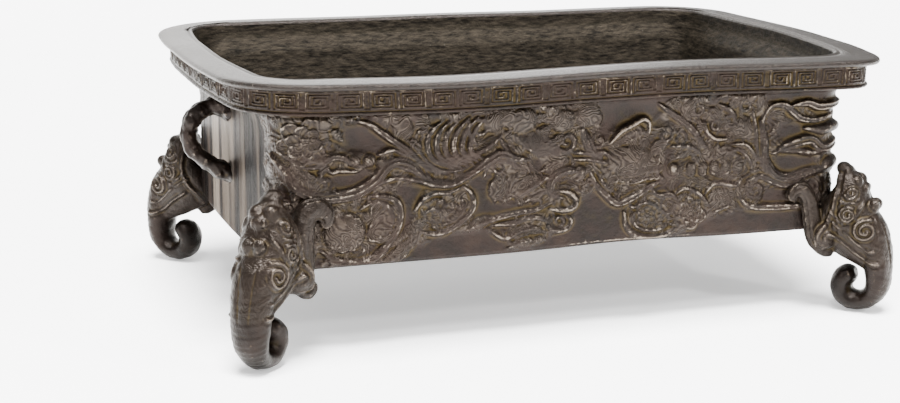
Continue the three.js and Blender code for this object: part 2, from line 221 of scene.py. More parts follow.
def relaxed(points, edges, rounds):
    """Each point moved towards the mean of its neighbours, some number of times."""
    a, b = edges[:, 0], edges[:, 1]
    count = np.bincount(a, minlength=len(points)) + np.bincount(b, minlength=len(points))
    count = np.maximum(count, 1)[:, None]
    p = points.copy()
    for _ in range(rounds):
        sums = [np.bincount(a, p[b, k], len(p)) + np.bincount(b, p[a, k], len(p)) for k in range(3)]
        total = np.stack(sums, 1)
        p = 0.4 * p + 0.6 * total / count
    return p


def edge_array(mesh):
    return read_array(mesh.edges, "vertices", 2, int)


def fused(obj, rounds):
    """A piece's parts as one skin by a voxel remesh, and its points after some rounds of relaxing."""
    outward(obj)
    remesh = obj.modifiers.new("fuse", "REMESH")
    remesh.mode = "VOXEL"
    remesh.voxel_size = VOXEL
    mesh = bpy.data.meshes.new_from_object(obj.evaluated_get(bpy.context.evaluated_depsgraph_get()))
    obj.modifiers.clear()
    points = relaxed(read_points(mesh), edge_array(mesh), rounds)
    write_points(mesh, points)
    return mesh, points


def mark_wear_and_highlight(obj, rounds, scale, calm=0.0):
    """Stores how far each point stands above or below the smoothed surface, as a point attribute that drives
    both the paler crests, partly rubbed metal and partly painted highlight, and the earth in the hollows.

    Below the height calm no edge gets the full pale crest colour.
    """
    mesh = obj.data
    points = read_points(mesh)
    lift = ((points - relaxed(points, edge_array(mesh), rounds)) * read_normals(mesh)).sum(1) / scale
    store(obj, "wear_and_highlight", np.clip(0.5 + 0.5 * lift, 0, np.where(points[:, 2] < calm, 0.6, 1.0)))


# The trough's plan

CORNER, SIDE, END = 20, 150, 100
# Rings of the shell that belong to the outer wall, from below, and to the inside, from the mouth down.
WALL_RINGS = 58
INSIDE_RINGS = 45
# The shell's areas by material; the lip and the rest have 0.
STREAKED_AREA, INSIDE_AREA, WALL_AREA = 1, 2, 3
# The beads round the mouth: how far in from the lip's edge and how far below its top.
MOUTH_EDGE = [
    (15.6, 0.3), (16.1, 0.9), (16.8, 0.9), (17.3, 0.35), (17.9, 0.2), (18.5, 0.6), (18.9, 1.6), (19.2, 3.5),
]


def plan(half, radii, bow):
    """Points round a rounded rectangle with bowed ends, counter-clockwise from the front right corner."""
    (a, b), out = half, []
    signs = ((1, -1), (1, 1), (-1, 1), (-1, -1))
    for k, ((sx, sy), r) in enumerate(zip(signs, radii)):
        turn = -np.pi / 2 + np.pi / 2 * (k + np.linspace(0, 1, CORNER + 1))
        out.append(np.c_[sx * (a - r) + r * np.cos(turn), sy * (b - r) + r * np.sin(turn)])
        nx, ny = signs[(k + 1) % 4]
        nr = radii[(k + 1) % 4]
        steps = END if k % 2 == 0 else SIDE
        start = out[-1][-1]
        stop = np.array([nx * a, ny * (b - nr)]) if k % 2 == 0 else np.array([nx * (a - nr), ny * b])
        t = np.linspace(0, 1, steps, endpoint=False)[1:, None]
        out.append(start + (stop - start) * t)
    flat = np.vstack(out)
    x, y = flat.T
    bulge = np.sign(x) * bow * (1 - (y / b) ** 2) * np.minimum(1, abs(x) / a) ** 4
    return np.c_[x + bulge, y]


def at_height(flat, z):
    return np.c_[flat, np.full(len(flat), z)]


def lip_plan(inset, z):
    radii = [max(r - inset, 10.0) for r in LIP_RADII]
    return at_height(plan((LIP[0] - inset, LIP[1] - inset), radii, END_BOW), z)


def wall_plan(out, z):
    return at_height(plan((WALL[0] + out, WALL[1] + out), [max(WALL_RADIUS + out, 2.0)] * 4, WALL_BOW), z)


def inner_plan(out, z):
    half = (WALL[0] - WALL_THICK + out, WALL[1] - WALL_THICK + out)
    return at_height(plan(half, [INNER_RADIUS + max(out, 0) * 0.3] * 4, WALL_BOW), z)


def opening_plan(inset, z):
    """The mouth, its front side further in than the others."""
    flat = plan((LIP[0] - inset, LIP[1] - inset), [OPENING_RADIUS] * 4, END_BOW)
    flat[:, 1] += OPENING_SHIFT * smoothstep(0, -95, flat[:, 1])
    return at_height(flat, z)


def flare(z):
    """The cove under the band: how far the wall leans out at a height."""
    return NECK_FLARE * np.clip((z - (BAND_FOOT - COVE)) / COVE, 0, 1) ** 2


def warp(points):
    """The old casting's slight waviness: the front lip and wall foot rise and sag by a millimetre or two."""
    x, y, z = points.T
    front = smoothstep(40, -110, y)
    upper = smoothstep(80, 140, z)
    sag = -1.3 * np.exp(-((x + 75) / 55) ** 2) + 0.8 * np.exp(-((x - 45) / 50) ** 2)
    droop = -1.6 * smoothstep(150, 190, x) * smoothstep(-60, -120, y)
    foot = 1.6 * np.exp(-((x - 35) / 45) ** 2) * (1 - upper)
    moved = points.copy()
    moved[:, 2] += front * (sag * upper + foot * smoothstep(70, 46, z)) + droop * upper
    moved[:, 2] += 0.35 * flat_waves(x, y, 90, 3) * upper
    moved[:, 0] += 0.3 * waves(x, y, z, 80, 4) * upper
    moved[:, 1] += 0.3 * waves(x, y, z, 80, 5) * upper
    return moved


def shell_rings():
    """Rings of the plan from under the floor, out, up, over the lip and in."""
    rings = [wall_plan(out, WALL_FOOT + rise) for out, rise in ((-60, 0), (-4, 0), (-0.5, 0.05), (0, 0.5))]
    rings += [wall_plan(flare(z), z) for z in np.arange(WALL_FOOT + 2.5, BAND_FOOT - 0.5, 1.6)]
    rings.append(wall_plan(NECK_FLARE + 0.6, BAND_FOOT - 0.2))
    rings += [lip_plan(BAND_INSET + 2.2, BAND_FOOT), lip_plan(BAND_INSET + 0.2, BAND_FOOT + 0.1)]
    rings += [lip_plan(BAND_INSET + 0.5, z) for z in np.linspace(BAND_FOOT + 1, LIP_UNDER - 0.2, 6)]
    rings += [lip_plan(4.0, LIP_UNDER - 0.1), lip_plan(2.2, LIP_UNDER)]
    nose, middle = 2.0, (LIP_TOP + LIP_UNDER) / 2
    for angle in np.radians(np.linspace(-80, 80, 9)):
        rings.append(lip_plan(nose * (1 - math.cos(angle)), middle - 0.2 + nose * math.sin(angle) * 0.85))
    for inset in np.linspace(3, 14.5, 7):
        crown = 0.5 * max(0, 1 - inset / 11) ** 2
        rings.append(lip_plan(inset, LIP_TOP - crown - 0.12 * math.sin(math.pi * inset / 16)))
    rings += [opening_plan(inset, LIP_TOP - drop) for inset, drop in MOUTH_EDGE]
    top, low = opening_plan(19.6, LIP_TOP - 8), inner_plan(NECK_FLARE, BAND_FOOT)
    rings += [top * (1 - t) + low * t for t in np.linspace(0, 1, 6)]
    rings += [inner_plan(NECK_FLARE * t, BAND_FOOT - COVE * (1 - t)) for t in np.linspace(0.875, 0, 8)]
    rings += [inner_plan(0, z) for z in np.linspace(BAND_FOOT - COVE - 3, FLOOR + 3, 22)]
    rings += [inner_plan(-0.9, FLOOR + 0.9), inner_plan(-3, FLOOR)]
    return rings + [inner_plan(-3 - d, FLOOR) for d in (8, 20, 35, 50, 70)]


def build_shell():
    """The whole casting but its carved panels, and the number of each face's material."""
    rings = shell_rings()
    first_inside = len(rings) - INSIDE_RINGS
    points, faces = loft(rings)
    cols = len(rings[0])
    x, y, z = points.T
    row = np.minimum(np.arange(len(points)) // cols, len(rings) - 1)
    inside = smoothstep(first_inside, first_inside + 6, row)
    outside_wall = (row > 3) & (z < BAND_FOOT - 2) & (row < WALL_RINGS)
    centre = np.c_[x / WALL[0], y / WALL[1]]
    way = np.c_[centre ** 5, np.zeros(len(x))]
    way /= np.linalg.norm(way, axis=1)[:, None] + 1e-6
    rough = 0.22 * waves(x, y, z * 3.2, 22, 11) + 0.1 * waves(x, y, z * 3, 8, 12)
    ripple = 0.16 * waves(x, y * 1.5, z * 0.15, 9, 13) + 0.14 * waves(x, y, z * 0.3, 30, 14)
    outside_wall = outside_wall * smoothstep(148, 156, abs(x)) * smoothstep(92, 86, abs(y))
    points += way * (inside * rough * 0.8 + outside_wall * ripple)[:, None]
    points[:, 2] += (row > len(rings) - 8) * rough * 0.5
    obj = make_mesh("trough_casting", warp(points), faces)
    cx, cy, cz = read_array(obj.data.polygons, "center", 3).T * 1000
    ring = np.minimum(np.arange(len(cx)) // cols, len(rings))
    area = np.zeros(len(cx), int)
    outer = ring < first_inside
    area[outer & (ring > 1) & (cz < BAND_FOOT - 1) & (abs(cx) > WALL[0] - 5)] = STREAKED_AREA
    area[~outer & (cz > FLOOR - 1.5)] = INSIDE_AREA
    area[(area == 0) & outer & (ring > 0) & (cz < BAND_FOOT + 0.5)] = WALL_AREA
    return obj, area


# Carved panels

# The width of a strand at its ends, as a share of its middle.
END_SHARE = 0.3


class Relief:
    """A height field over a long wall: u runs along it and round its corners, v is height."""

    def __init__(self, half, low, high, step):
        self.u = np.linspace(-half, half, int(2 * half / step) + 1)
        self.v = np.linspace(low, high, int((high - low) / step) + 1)
        self.U, self.V = np.meshgrid(self.u, self.v)
        self.h = np.zeros(self.U.shape)
        self.comb = np.ones(self.U.shape)

    def window(self, points, pad):
        low, high = points.min(0) - pad, points.max(0) + pad
        cols = slice(*np.searchsorted(self.u, (low[0], high[0])))
        rows = slice(*np.searchsorted(self.v, (low[1], high[1])))
        return rows, cols

    def near(self, path, where):
        """For every point of a window: distance to the path, signed side, and share of its length."""
        U, V = self.U[where], self.V[where]
        best = np.full(U.shape, 1e9)
        index = np.zeros(U.shape, int)
        for i, (u, v) in enumerate(path):
            d = (U - u) ** 2 + (V - v) ** 2
            closer = d < best
            best[closer] = d[closer]
            index[closer] = i
        way = np.gradient(path, axis=0)
        way /= np.linalg.norm(way, axis=1)[:, None] + 1e-9
        side = way[index, 0] * (V - path[index, 1]) - way[index, 1] * (U - path[index, 0])
        return np.sqrt(best), np.sign(side), index / (len(path) - 1)

    def lay(self, where, height, comb):
        """Puts a motif on the field, and marks how far the combed lines run on over it."""
        under, lines = self.h[where], self.comb[where]
        shown = height + 0.12 * np.minimum(under, 1.5)
        cover = (height > 0) & (shown > under)
        under[cover] = shown[cover]
        lines[cover] = comb

    def stroke(self, points, width, height=2.4, lines=0):
        """A raised strand that thins towards both ends, with fine lines along it."""
        path = points if len(points) > 30 else spline(points)
        width *= 1.3
        where = self.window(path, width + 1)
        if self.h[where].size == 0:
            return
        d, side, s = self.near(path, where)
        w = width * (1 - (1 - END_SHARE) * (2 * abs(s - 0.5)) ** 2.5)
        x = np.clip(d / w, 0, 1)
        dome = np.sqrt(1 - x * x) * (0.45 + 0.55 * w / width)
        groove = 0.0
        if lines:
            furrows = 0.5 - 0.5 * np.cos(np.pi * lines * side * x + np.pi * (lines + 1))
            groove = 0.34 * furrows * smoothstep(0.02, 0.2, s)
        self.lay(where, height * dome * (1 - groove) * (d < w), 0.2)

    def local(self, where, u, v, angle):
        """A window's points as seen from (u, v): along the turned axis and across it."""
        turn = math.radians(angle)
        U, V = self.U[where] - u, self.V[where] - v
        return U * math.cos(turn) + V * math.sin(turn), -U * math.sin(turn) + V * math.cos(turn)

    def petal(self, u, v, angle, length, width, height=2.6, veins=5):
        """A petal from its base at (u, v): a shallow cup with a rolled rim and fine veins."""
        turn = math.radians(angle)
        axis = np.array([[u, v], [u + length * math.cos(turn), v + length * math.sin(turn)]])
        where = self.window(axis, width)
        a, b = self.local(where, u, v, angle)
        a, b = a / length, b / (width * 0.5)
        outline = np.sqrt(np.clip(1 - (2 * np.clip(a, 0, 1) ** 0.8 - 1) ** 2, 0, 1))
        x = abs(b) / np.maximum(outline, 1e-3)
        inside = (x < 1) & (a > 0) & (a < 1)
        rim = np.maximum(smoothstep(0.62, 0.86, x), smoothstep(0.74, 0.9, a))
        rim = rim * smoothstep(1.0, 0.93, np.maximum(x, a))
        vein = 0.1 * np.cos(b / np.maximum(outline, 0.2) * veins * np.pi) * smoothstep(0.1, 0.5, a)
        self.lay(where, height * (0.5 + 0.22 * a + 0.34 * rim + vein) * inside, 0.45)

    def blossom(self, u, v, radius, count=7, height=3.0, start=0.0, squash=1.0):
        """A peony: a ring of broad petals, a second ring inside it and a beaded heart."""
        for ring, (size, lift, extra) in enumerate(((1.0, 0.72, 0), (0.68, 0.95, 180 / count))):
            for k in range(count):
                angle = start + extra + 360 * k / count
                c, s = math.cos(math.radians(angle)), math.sin(math.radians(angle))
                base = 0.12 * radius * size
                self.petal(u + base * c, v + base * s * squash, math.degrees(math.atan2(s * squash, c)),
                           radius * size * (0.92 if k % 2 else 0.84), radius * size * 0.78, height * lift)
        for k in range(7):
            c, s = math.cos(k * 2 * math.pi / 6), math.sin(k * 2 * math.pi / 6)
            r = 0 if k == 6 else radius * 0.17
            self.bump(u + r * c, v + r * s, radius * 0.12, radius * 0.12, height=height * 1.1)

    def bump(self, u, v, along, across, angle=0.0, height=2.4, flat=1.0):
        """A smooth oval knob; a lower flat makes its top flatter."""
        where = self.window(np.array([[u, v]]), max(along, across) + 1)
        a, b = self.local(where, u, v, angle)
        a, b = a / along, b / across
        self.lay(where, height * np.sqrt(np.clip(1 - a * a - b * b, 0, 1)) ** flat, 0.7)

    def leaf(self, u0, v0, u1, v1, half, height=2.0, bend=0.0, veins=1.5):
        """A pointed leaf with a raised rib and slanting veins; bend bows it to its left."""
        a, b = np.array([u0, v0], float), np.array([u1, v1], float)
        normal = np.array([-(b - a)[1], (b - a)[0]]) / np.linalg.norm(b - a)
        path = spline([a, (a + b) / 2 + normal * bend, b])
        where = self.window(path, half + 1)
        if self.h[where].size == 0:
            return
        d, side, s = self.near(path, where)
        w = half * np.sin(np.pi * np.clip(s, 0.02, 0.98) ** 0.75) + 0.05
        x = np.clip(d / w, 0, 1)
        length = np.linalg.norm(b - a)
        ribs = 0.12 * np.cos(2 * np.pi * (s * length - 0.9 * d) / veins)
        section = 0.55 + 0.35 * (1 - x) ** 3 + 0.3 * smoothstep(0.7, 0.95, x)
        self.lay(where, height * (section + ribs) * (d < w), 0.5)

    def clear(self, points):
        """Smooths an area down to the plain ground inside a polygon."""
        poly = np.asarray(points, float)
        where = self.window(poly, 2)
        U, V = self.U[where], self.V[where]
        inside = np.zeros(U.shape, bool)
        for (x0, y0), (x1, y1) in zip(poly, np.roll(poly, -1, 0)):
            if y0 == y1:
                continue
            cross = ((y0 > V) != (y1 > V)) & (U < (x1 - x0) * (V - y0) / (y1 - y0) + x0)
            inside ^= cross
        mask = blurred(inside.astype(float), 10)
        self.h[where] *= 1 - mask

    def thicket(self, count, seed):
        """Low leaves and curls in seeded places, leaning with one flow, as a ground for the motifs."""
        rng = np.random.default_rng(seed)
        u = rng.uniform(self.u[0], self.u[-1], count)
        v = rng.uniform(self.v[0] + 3, self.v[-1] - 2, count)
        lean = np.degrees(1.6 * flat_waves(u, v, 70, seed)) + rng.normal(0, 22, count)
        for k in range(count):
            a, size = math.radians(lean[k]), rng.uniform(7, 13)
            if k % 4 == 3:
                path = spline(spiral(u[k], v[k], size * 0.38, lean[k], 1.3 if k % 8 == 3 else -1.3), 0.5)
                self.stroke(path, 0.95, rng.uniform(1.2, 1.8))
            else:
                self.leaf(u[k], v[k], u[k] + size * math.cos(a), v[k] + size * math.sin(a), size * 0.24,
                          rng.uniform(1.6, 2.6), rng.uniform(-2.5, 2.5), 2.0)

    def swirls(self, base=1.3, depth=0.5, length=15, seed=21, spacing=2.1):
        """Flowing parallel lines over the whole field: contour lines of a smooth wander."""
        field = flat_waves(self.U, self.V * 1.25, length, seed)
        lines = 0.5 + 0.5 * np.cos(2 * np.pi * field * length * 0.33 / spacing)
        lumps = flat_waves(self.U, self.V, 9, seed + 1)
        self.h[:] = base + 0.5 * lumps + depth * (lines - 0.5)

    def chase(self, length=13, seed=23, spacing=2.4, depth=0.42):
        """Fine engraved lines over everything raised, sweeping round in whorls as if drawn with a comb."""
        field = flat_waves(self.U, self.V * 1.2, length, seed) + 0.12 * self.h
        lines = np.cos(2 * np.pi * field * length * 0.36 / spacing)
        patches = 0.7 + 0.3 * flat_waves(self.U, self.V, 25, 24)
        self.h += depth * lines * smoothstep(0.5, 1.2, self.h) * patches


def blurred(field, rounds):
    """A field averaged with its neighbours, some number of times."""
    for _ in range(rounds):
        p = np.pad(field, 1, mode="edge")
        field = (p[:-2, 1:-1] + p[2:, 1:-1] + p[1:-1, :-2] + p[1:-1, 2:] + 2 * field) / 6
    return field


# Plain ground between the motifs of the front wall, as outlines.
GROUND = [
    [(-126, 107), (-127, 121), (-117, 121), (-103, 113), (-100, 109), (-108, 105)],
    [(-131, 97), (-113, 96), (-112, 91), (-118, 87), (-127, 87), (-133, 92)],
    [(-97, 88), (-80, 86), (-87, 79), (-90, 66), (-97, 60), (-95, 74)],
    [(-104, 44), (-96, 51), (-80, 57), (-66, 60), (-48, 60), (-38, 54), (-34, 48), (-18, 50), (-10, 55),
     (1, 60), (2, 70), (12, 78), (24, 68), (30, 66), (30, 56), (40, 47), (60, 48), (84, 58), (100, 60),
     (140, 58), (166, 58), (166, 44)],
    [(-57, 89), (-50, 93), (-46, 86), (-45, 76), (-34, 72), (-18, 73), (-20, 70), (-45, 67), (-58, 62),
     (-54, 74)],
    [(17, 104), (22, 109), (36, 116), (46, 112), (50, 119), (52, 127), (14, 127)],
    [(121, 81), (118, 86), (123, 90), (144, 88), (148, 82), (138, 80), (128, 79)],
    [(112, 64), (114, 70), (122, 72), (132, 71), (132, 63), (118, 62)],
    [(121, 101), (122, 108), (132, 108), (149, 107), (146, 101), (135, 99), (126, 98)],
    [(112, 120), (166, 121), (166, 130), (112, 130)],
]

# Strands of the front wall: half width, height, fine lines, then the points they pass through.
STRANDS = [
    (2.6, 3.0, 3, [(-163, 106), (-155, 98), (-150, 89), (-141, 84), (-128, 83.5), (-118, 85.5),
     (-109, 91), (-103, 98), (-96, 100), (-89, 97), (-84, 91), (-77, 88), (-67, 87.5)]),
    (1.4, 2.4, 0, [(-112, 85), (-104, 90), (-96, 91.5), (-86, 89.5), (-78, 86.5), (-68, 86), (-60, 89.5),
     (-50, 95), (-42, 99.5), (-34, 99)]),
    (2.0, 2.8, 2, [(-66, 88.5), (-57, 92), (-49, 97.5), (-41, 101), (-33, 98), (-26, 96.5)]),
    (1.6, 2.4, 2, [(-121, 123), (-113, 121), (-106, 116), (-99, 111), (-92, 106), (-86, 100), (-79, 94.5),
     (-70, 91.5)]),
    (1.2, 2.0, 0, [(-108, 104), (-100, 106.5), (-94, 104), (-88, 101)]),
    (1.0, 2.0, 0, [(-92, 112), (-86, 105), (-80, 98), (-73, 94), (-64, 93.5), (-56, 96)]),
    (1.5, 2.3, 2, [(-147, 99.5), (-139, 100), (-132, 104), (-126, 103.5), (-121, 100), (-114, 98.5)]),
    (1.0, 1.8, 0, [(-160, 112), (-154, 105), (-146, 101)]),
    (1.3, 2.2, 2, [(-152, 95), (-146, 88), (-138, 85.5), (-129, 87)]),
    (1.1, 1.9, 0, [(-137, 100), (-132, 96.5), (-128, 97), (-118, 96)]),
    (1.7, 2.8, 2, [(-113, 83), (-104, 82), (-98, 79), (-96, 72), (-98, 64), (-104, 56), (-111, 51)]),
    (1.3, 2.4, 0, [(-117, 76), (-112, 79), (-105, 79), (-101, 74), (-101, 67), (-106, 60)]),
    (1.6, 2.4, 2, [(-138, 56), (-131, 51), (-122, 48.6), (-113, 49), (-105, 53), (-99, 60)]),
    (1.2, 2.0, 0, [(-136, 51), (-126, 47.6), (-116, 47)]),
    (1.3, 2.4, 0, [(-88, 73), (-84, 79), (-78, 82), (-70, 82), (-63, 84)]),
    (1.5, 2.7, 2, [(-62, 85), (-57, 80), (-56.5, 73), (-62, 67), (-70, 62), (-79, 60.5), (-86, 63)]),
    (1.0, 2.0, 0, [(-63, 79), (-61, 73), (-67, 67), (-76, 64)]),
    (1.2, 2.2, 0, [(-84, 71), (-79, 74), (-74, 73), (-72, 78)]),
    (1.3, 2.2, 2, [(-61, 60.5), (-52, 64), (-42, 66.5), (-31, 68.3), (-20, 69.5), (-10, 73.5)]),
    (1.4, 2.2, 2, [(-46, 62.5), (-34, 63), (-24, 65.5), (-15, 63), (-10, 58)]),
    (1.1, 2.0, 0, [(-48, 61), (-42, 56.5), (-37, 55), (-29, 58.5), (-20, 59.5)]),
    (1.0, 1.8, 0, [(-37, 49), (-30, 52), (-21, 52.4)]),
    (1.2, 2.3, 0, [(-59, 121), (-59.5, 115), (-57, 110), (-54, 106)]),
    (1.3, 2.2, 2, [(-61, 101), (-53, 102.5), (-46, 106.5), (-41, 111)]),
    (1.2, 2.0, 2, [(-42, 110), (-38, 103), (-34, 99), (-28, 98)]),
    (1.3, 2.0, 2, [(-50, 89), (-48.5, 94), (-43, 97), (-36, 96), (-30, 92)]),
    (2.2, 2.9, 3, [(4, 89), (-6, 89), (-12.5, 84.5), (-12.5, 78), (-6, 74.5)]),
    (1.6, 3.2, 0, [(-10, 79), (-4, 77.8), (1, 74), (0, 69.5), (-6, 68), (-13, 69)]),
    (1.4, 2.4, 0, [(-13, 66), (-14, 60), (-9, 56.8), (-3, 57.8), (-1, 62), (-4, 65)]),
    (2.4, 2.8, 3, [(4, 112), (7, 105), (10, 99), (16, 95)]),
    (1.2, 2.0, 0, [(-2, 99), (8, 98), (16, 98), (24, 94)]),
    (1.1, 2.0, 0, [(0, 95), (10, 94.5), (20, 91.5)]),
    (1.5, 3.6, 0, [(20, 102), (26, 108.5), (33, 112), (39, 114.3), (42.5, 112), (43, 106)]),
    (1.7, 2.6, 2, [(9, 89), (13, 81), (19, 74.5), (26, 69.5), (34, 72), (43, 76.5), (53, 81.5)]),
    (1.0, 1.9, 0, [(14, 87), (18, 80), (24, 75.5)]),
    (1.3, 2.2, 0, [(39, 83), (44, 86), (48, 88.5), (48.5, 84.5), (53, 81)]),
    (1.6, 2.5, 3, [(30, 64), (31.5, 56), (36, 50.5), (44, 47.8), (54, 48.6), (62, 53)]),
    (1.1, 2.1, 0, [(35, 64), (36, 57), (41, 53), (49, 52), (56, 54)]),
    (1.2, 2.1, 0, [(35, 66), (41, 69), (48, 67), (51, 62)]),
    (1.3, 2.2, 2, [(45, 77), (50, 72), (58, 72), (62, 67)]),
    (1.6, 2.3, 2, [(48, 122), (55, 117), (62, 112.5), (69, 107), (75, 99.5), (80, 94.5)]),
    (1.1, 2.0, 0, [(57, 98.5), (64, 98.5), (70, 97), (75, 93)]),
    (1.1, 2.1, 0, [(76, 112), (78, 105), (84, 101), (92, 101)]),
    (1.2, 2.0, 0, [(84, 120), (90, 117), (95, 113)]),
    (1.0, 2.4, 0, [(93, 97.8), (101, 97.3), (106, 93), (110, 87)]),
    (1.0, 2.0, 0, [(91, 94.5), (98, 94.5), (103, 90), (107, 84)]),
    (1.4, 2.2, 0, [(78, 71), (82, 76), (88, 76.6), (96, 75), (101, 79)]),
    (1.1, 1.9, 0, [(82, 59.5), (87, 62), (95, 64)]),
    (2.6, 2.8, 4, [(113, 116), (111, 108), (113, 99), (113, 90), (117, 82), (123, 77.5), (131, 76.6),
     (140, 79), (150, 80.5), (160, 79)]),
    (1.2, 2.3, 0, [(105, 116), (107, 106), (108, 97), (110, 88)]),
    (1.0, 2.1, 0, [(116, 79), (122, 74.8), (132, 73.2), (138, 75.5)]),
    (1.7, 2.9, 2, [(112, 113), (116, 118), (124, 118.2), (130, 113.8), (136, 110), (146, 109), (156, 112)]),
    (2.0, 3.6, 2, [(128, 118), (138, 119), (146, 116.5), (156, 117.5), (167, 119)]),
    (2.6, 3.7, 0, [(138, 104.5), (147, 103.5), (156, 104.5), (168, 103.5)]),
    (2.6, 3.4, 2, [(119, 91.5), (126, 95), (134, 97), (142, 98), (149, 93), (158, 95), (168, 97)]),
    (1.7, 2.6, 0, [(123, 92), (132, 92.5), (141, 91), (150, 90)]),
    (2.8, 3.3, 0, [(149, 81), (156, 83.5), (168, 84.5)]),
    (1.7, 2.8, 2, [(99, 68), (103, 64), (109, 61.7), (118, 61), (128, 60.6), (142, 60.3)]),
    (1.6, 2.6, 2, [(104, 77), (111, 79), (118, 76), (125, 73.2), (134, 72)]),
    (1.2, 2.2, 0, [(60, 72), (65, 75), (71, 73.5), (77, 69), (82, 62)]),
]

# Curls of the front wall: middle, radius, start in degrees, turns and half width.
CURLS = [
    (-53, 115.5, 6.0, 200, -1.3, 1.1), (-4, 105, 5.6, 200, 1.3, 1.2), (108.5, 71.5, 5.2, 130, 1.6, 1.1),
    (-8, 62, 4.6, 120, 1.4, 1.1), (58, 86, 5.2, 100, 1.3, 1.2), (56, 66, 6.0, 30, 1.6, 1.0),
    (83, 108.5, 3.6, 0, 1.3, 0.9), (91.5, 110, 4.0, 180, -1.3, 0.9), (-42, 93.5, 4.4, 20, 1.3, 0.9),
    (53, 105, 4.4, 100, -1.3, 1.0), (98, 85, 4.2, 30, 1.2, 0.9), (-83, 74, 3.6, 200, -1.2, 0.9),
    (14, 104, 4.2, 90, 1.2, 0.9), (152, 116, 3.6, 200, -1.2, 0.9), (72, 118, 5.0, 60, 1.2, 1.0),
    (-143, 105, 4.6, 60, 1.2, 1.0), (-139, 91, 5.4, 120, 1.4, 1.0),
]

# Knobs of the front wall: middle, half length, half width, turn in degrees and height.
BUMPS = [
    (-45, 118, 6.5, 5.5, 20, 2.6), (-37, 119.5, 5, 5, 0, 2.8), (-29, 118, 8, 7, 0, 3.0),
    (-7, 116.5, 7.6, 6.4, 0, 3.0), (7, 118, 7.5, 6.6, 10, 2.8), (-120, 102, 3.2, 3.4, 0, 3.4),
    (-112.5, 101.5, 3.6, 3.6, 0, 3.6), (-106, 100, 3, 3, 0, 2.8), (4, 88.5, 3.2, 3, 0, 3.0),
    (34, 91, 15, 9.5, -8, 3.4), (58, 86.5, 3, 3, 0, 3.4), (-137, 121, 5, 4, 0, 2.2),
    (99, 106, 8, 6, -15, 2.4), (88, 68, 9, 7, 20, 2.2), (66, 118, 5, 6, 0, 2.2),
    (-93, 118, 4, 6, 20, 2.0),
]

# Leaves of the front wall: foot, tip, half width and bend.
LEAVES = [
    (-160, 100, -148, 84, 3.4, 2), (-150, 98, -130, 86, 5.0, -3), (-147, 103, -162, 92, 3.4, 2),
    (-105, 46, -87, 64.5, 3.4, -3), (-98, 54, -84, 62.5, 2.8, -2), (-60, 60.5, -40, 66, 3.0, 2),
    (-37, 55, -14, 56, 3.2, 3), (-36, 49.5, -20, 52.5, 2.0, 1), (-44, 75, -38, 91, 4.2, 2),
    (-38, 75, -30, 90, 4.4, 2), (-32, 76, -18, 88, 4.4, 2), (-27, 74, -12, 80, 2.6, 1),
    (24, 102, 43, 107, 4.4, 3), (96, 97, 110, 84, 2.8, 2), (-18, 90, -2, 96, 3.2, -1),
    (60, 92, 78, 98, 3.2, 2), (-70, 72, -60, 66, 3.4, 2), (45, 95, 56, 100, 3.4, 2),
    (16, 90, 30, 84, 3.0, -2), (84, 94, 98, 90, 3.0, 2),
]


def carve_front(step):
    """The front wall: a long-tailed bird flying through peonies, buds, leaves and drifting clouds."""
    r = Relief(176.0, WALL_FOOT, BAND_FOOT - 0.4, step)
    r.swirls(0.65)
    r.thicket(230, 77)
    r.chase()
    for outline in GROUND:
        r.clear(outline)
    for k in range(6):
        t = k / 5
        feather = [(-65 + 15 * t, 94 + 4 * t), (-79 + 21 * t, 101 + 3 * t), (-81 + 25 * t, 113 + t),
                   (-73 + 23 * t, 122)]
        r.stroke(feather, 1.5, 3.2, 2)
    for k in range(8):
        t = k / 7
        r.stroke([(-34 + 14 * t, 112), (-27 + 16 * t, 103.5), (-18 + 17 * t, 97)], 0.9, 2.1)
    for k in range(6):
        r.stroke([(-100 + 3.4 * k, 99 - 0.8 * k), (-93 + 3 * k, 95.5 - 1.6 * k)], 0.6, 3.0)
    for u, v, along, across, angle, height in BUMPS:
        r.bump(u, v, along, across, angle, height, 0.8)
    r.blossom(-146, 112.5, 13.5, 6, 3.0, 15)
    for k in range(9):
        r.petal(-107, 69, 100 - 27 * k, 11.5, 8.5, 2.5, 7)
    r.bump(-125.5, 64.5, 11.5, 11, 0, 3.9, 0.7)
    for k in range(3):
        for j in range(5 + k):
            turn = math.radians(200 + 36 * j + 12 * k)
            u, v = -125.5 + 2.6 * k * math.cos(turn), 64.5 + 2.6 * k * math.sin(turn)
            r.petal(u, v, math.degrees(turn), 5.2, 4.6, 4.0 - 0.35 * k, 3)
    r.blossom(-73, 71.5, 10.5, 6, 2.7, 10, 0.85)
    r.blossom(43, 60.5, 9.0, 6, 2.4, 0)
    r.blossom(69, 62.5, 11.5, 7, 3.0, 20)
    for u0, v0, u1, v1, half, bend in LEAVES:
        r.leaf(u0, v0, u1, v1, half, 2.3, bend)
    for width, height, lines, points in STRANDS:
        r.stroke(points, 1.12 * width, 1.25 * height, lines)
    for u, v, radius, start, turns, width in CURLS:
        r.stroke(spline(spiral(u, v, radius, start, turns)), width * 1.15, 2.0)
    for row in range(3):
        for k in range(8):
            r.petal(23 + 3.4 * k + 1.7 * (row % 2), 94 - 4.4 * row, -64, 4.6, 3.8, 3.3, 3)
    for k in range(5):
        r.bump(69 + 7 * k, 86, 3.2, 3.4, 0, 2.6, 0.7)
        r.stroke([(65.8 + 7 * k, 84), (69 + 7 * k, 82), (72.2 + 7 * k, 84)], 0.8, 2.4)
    for k in range(4):
        r.stroke([(-32 + 2.6 * k, 76 + k), (-24 + 2.6 * k, 83 + 0.8 * k), (-17 + 2 * k, 88)], 0.7, 2.7)
        r.stroke([(46, 90 - 2.2 * k), (36, 87 - 2.2 * k), (28, 88 - 2.4 * k)], 0.6, 3.4)
    return r


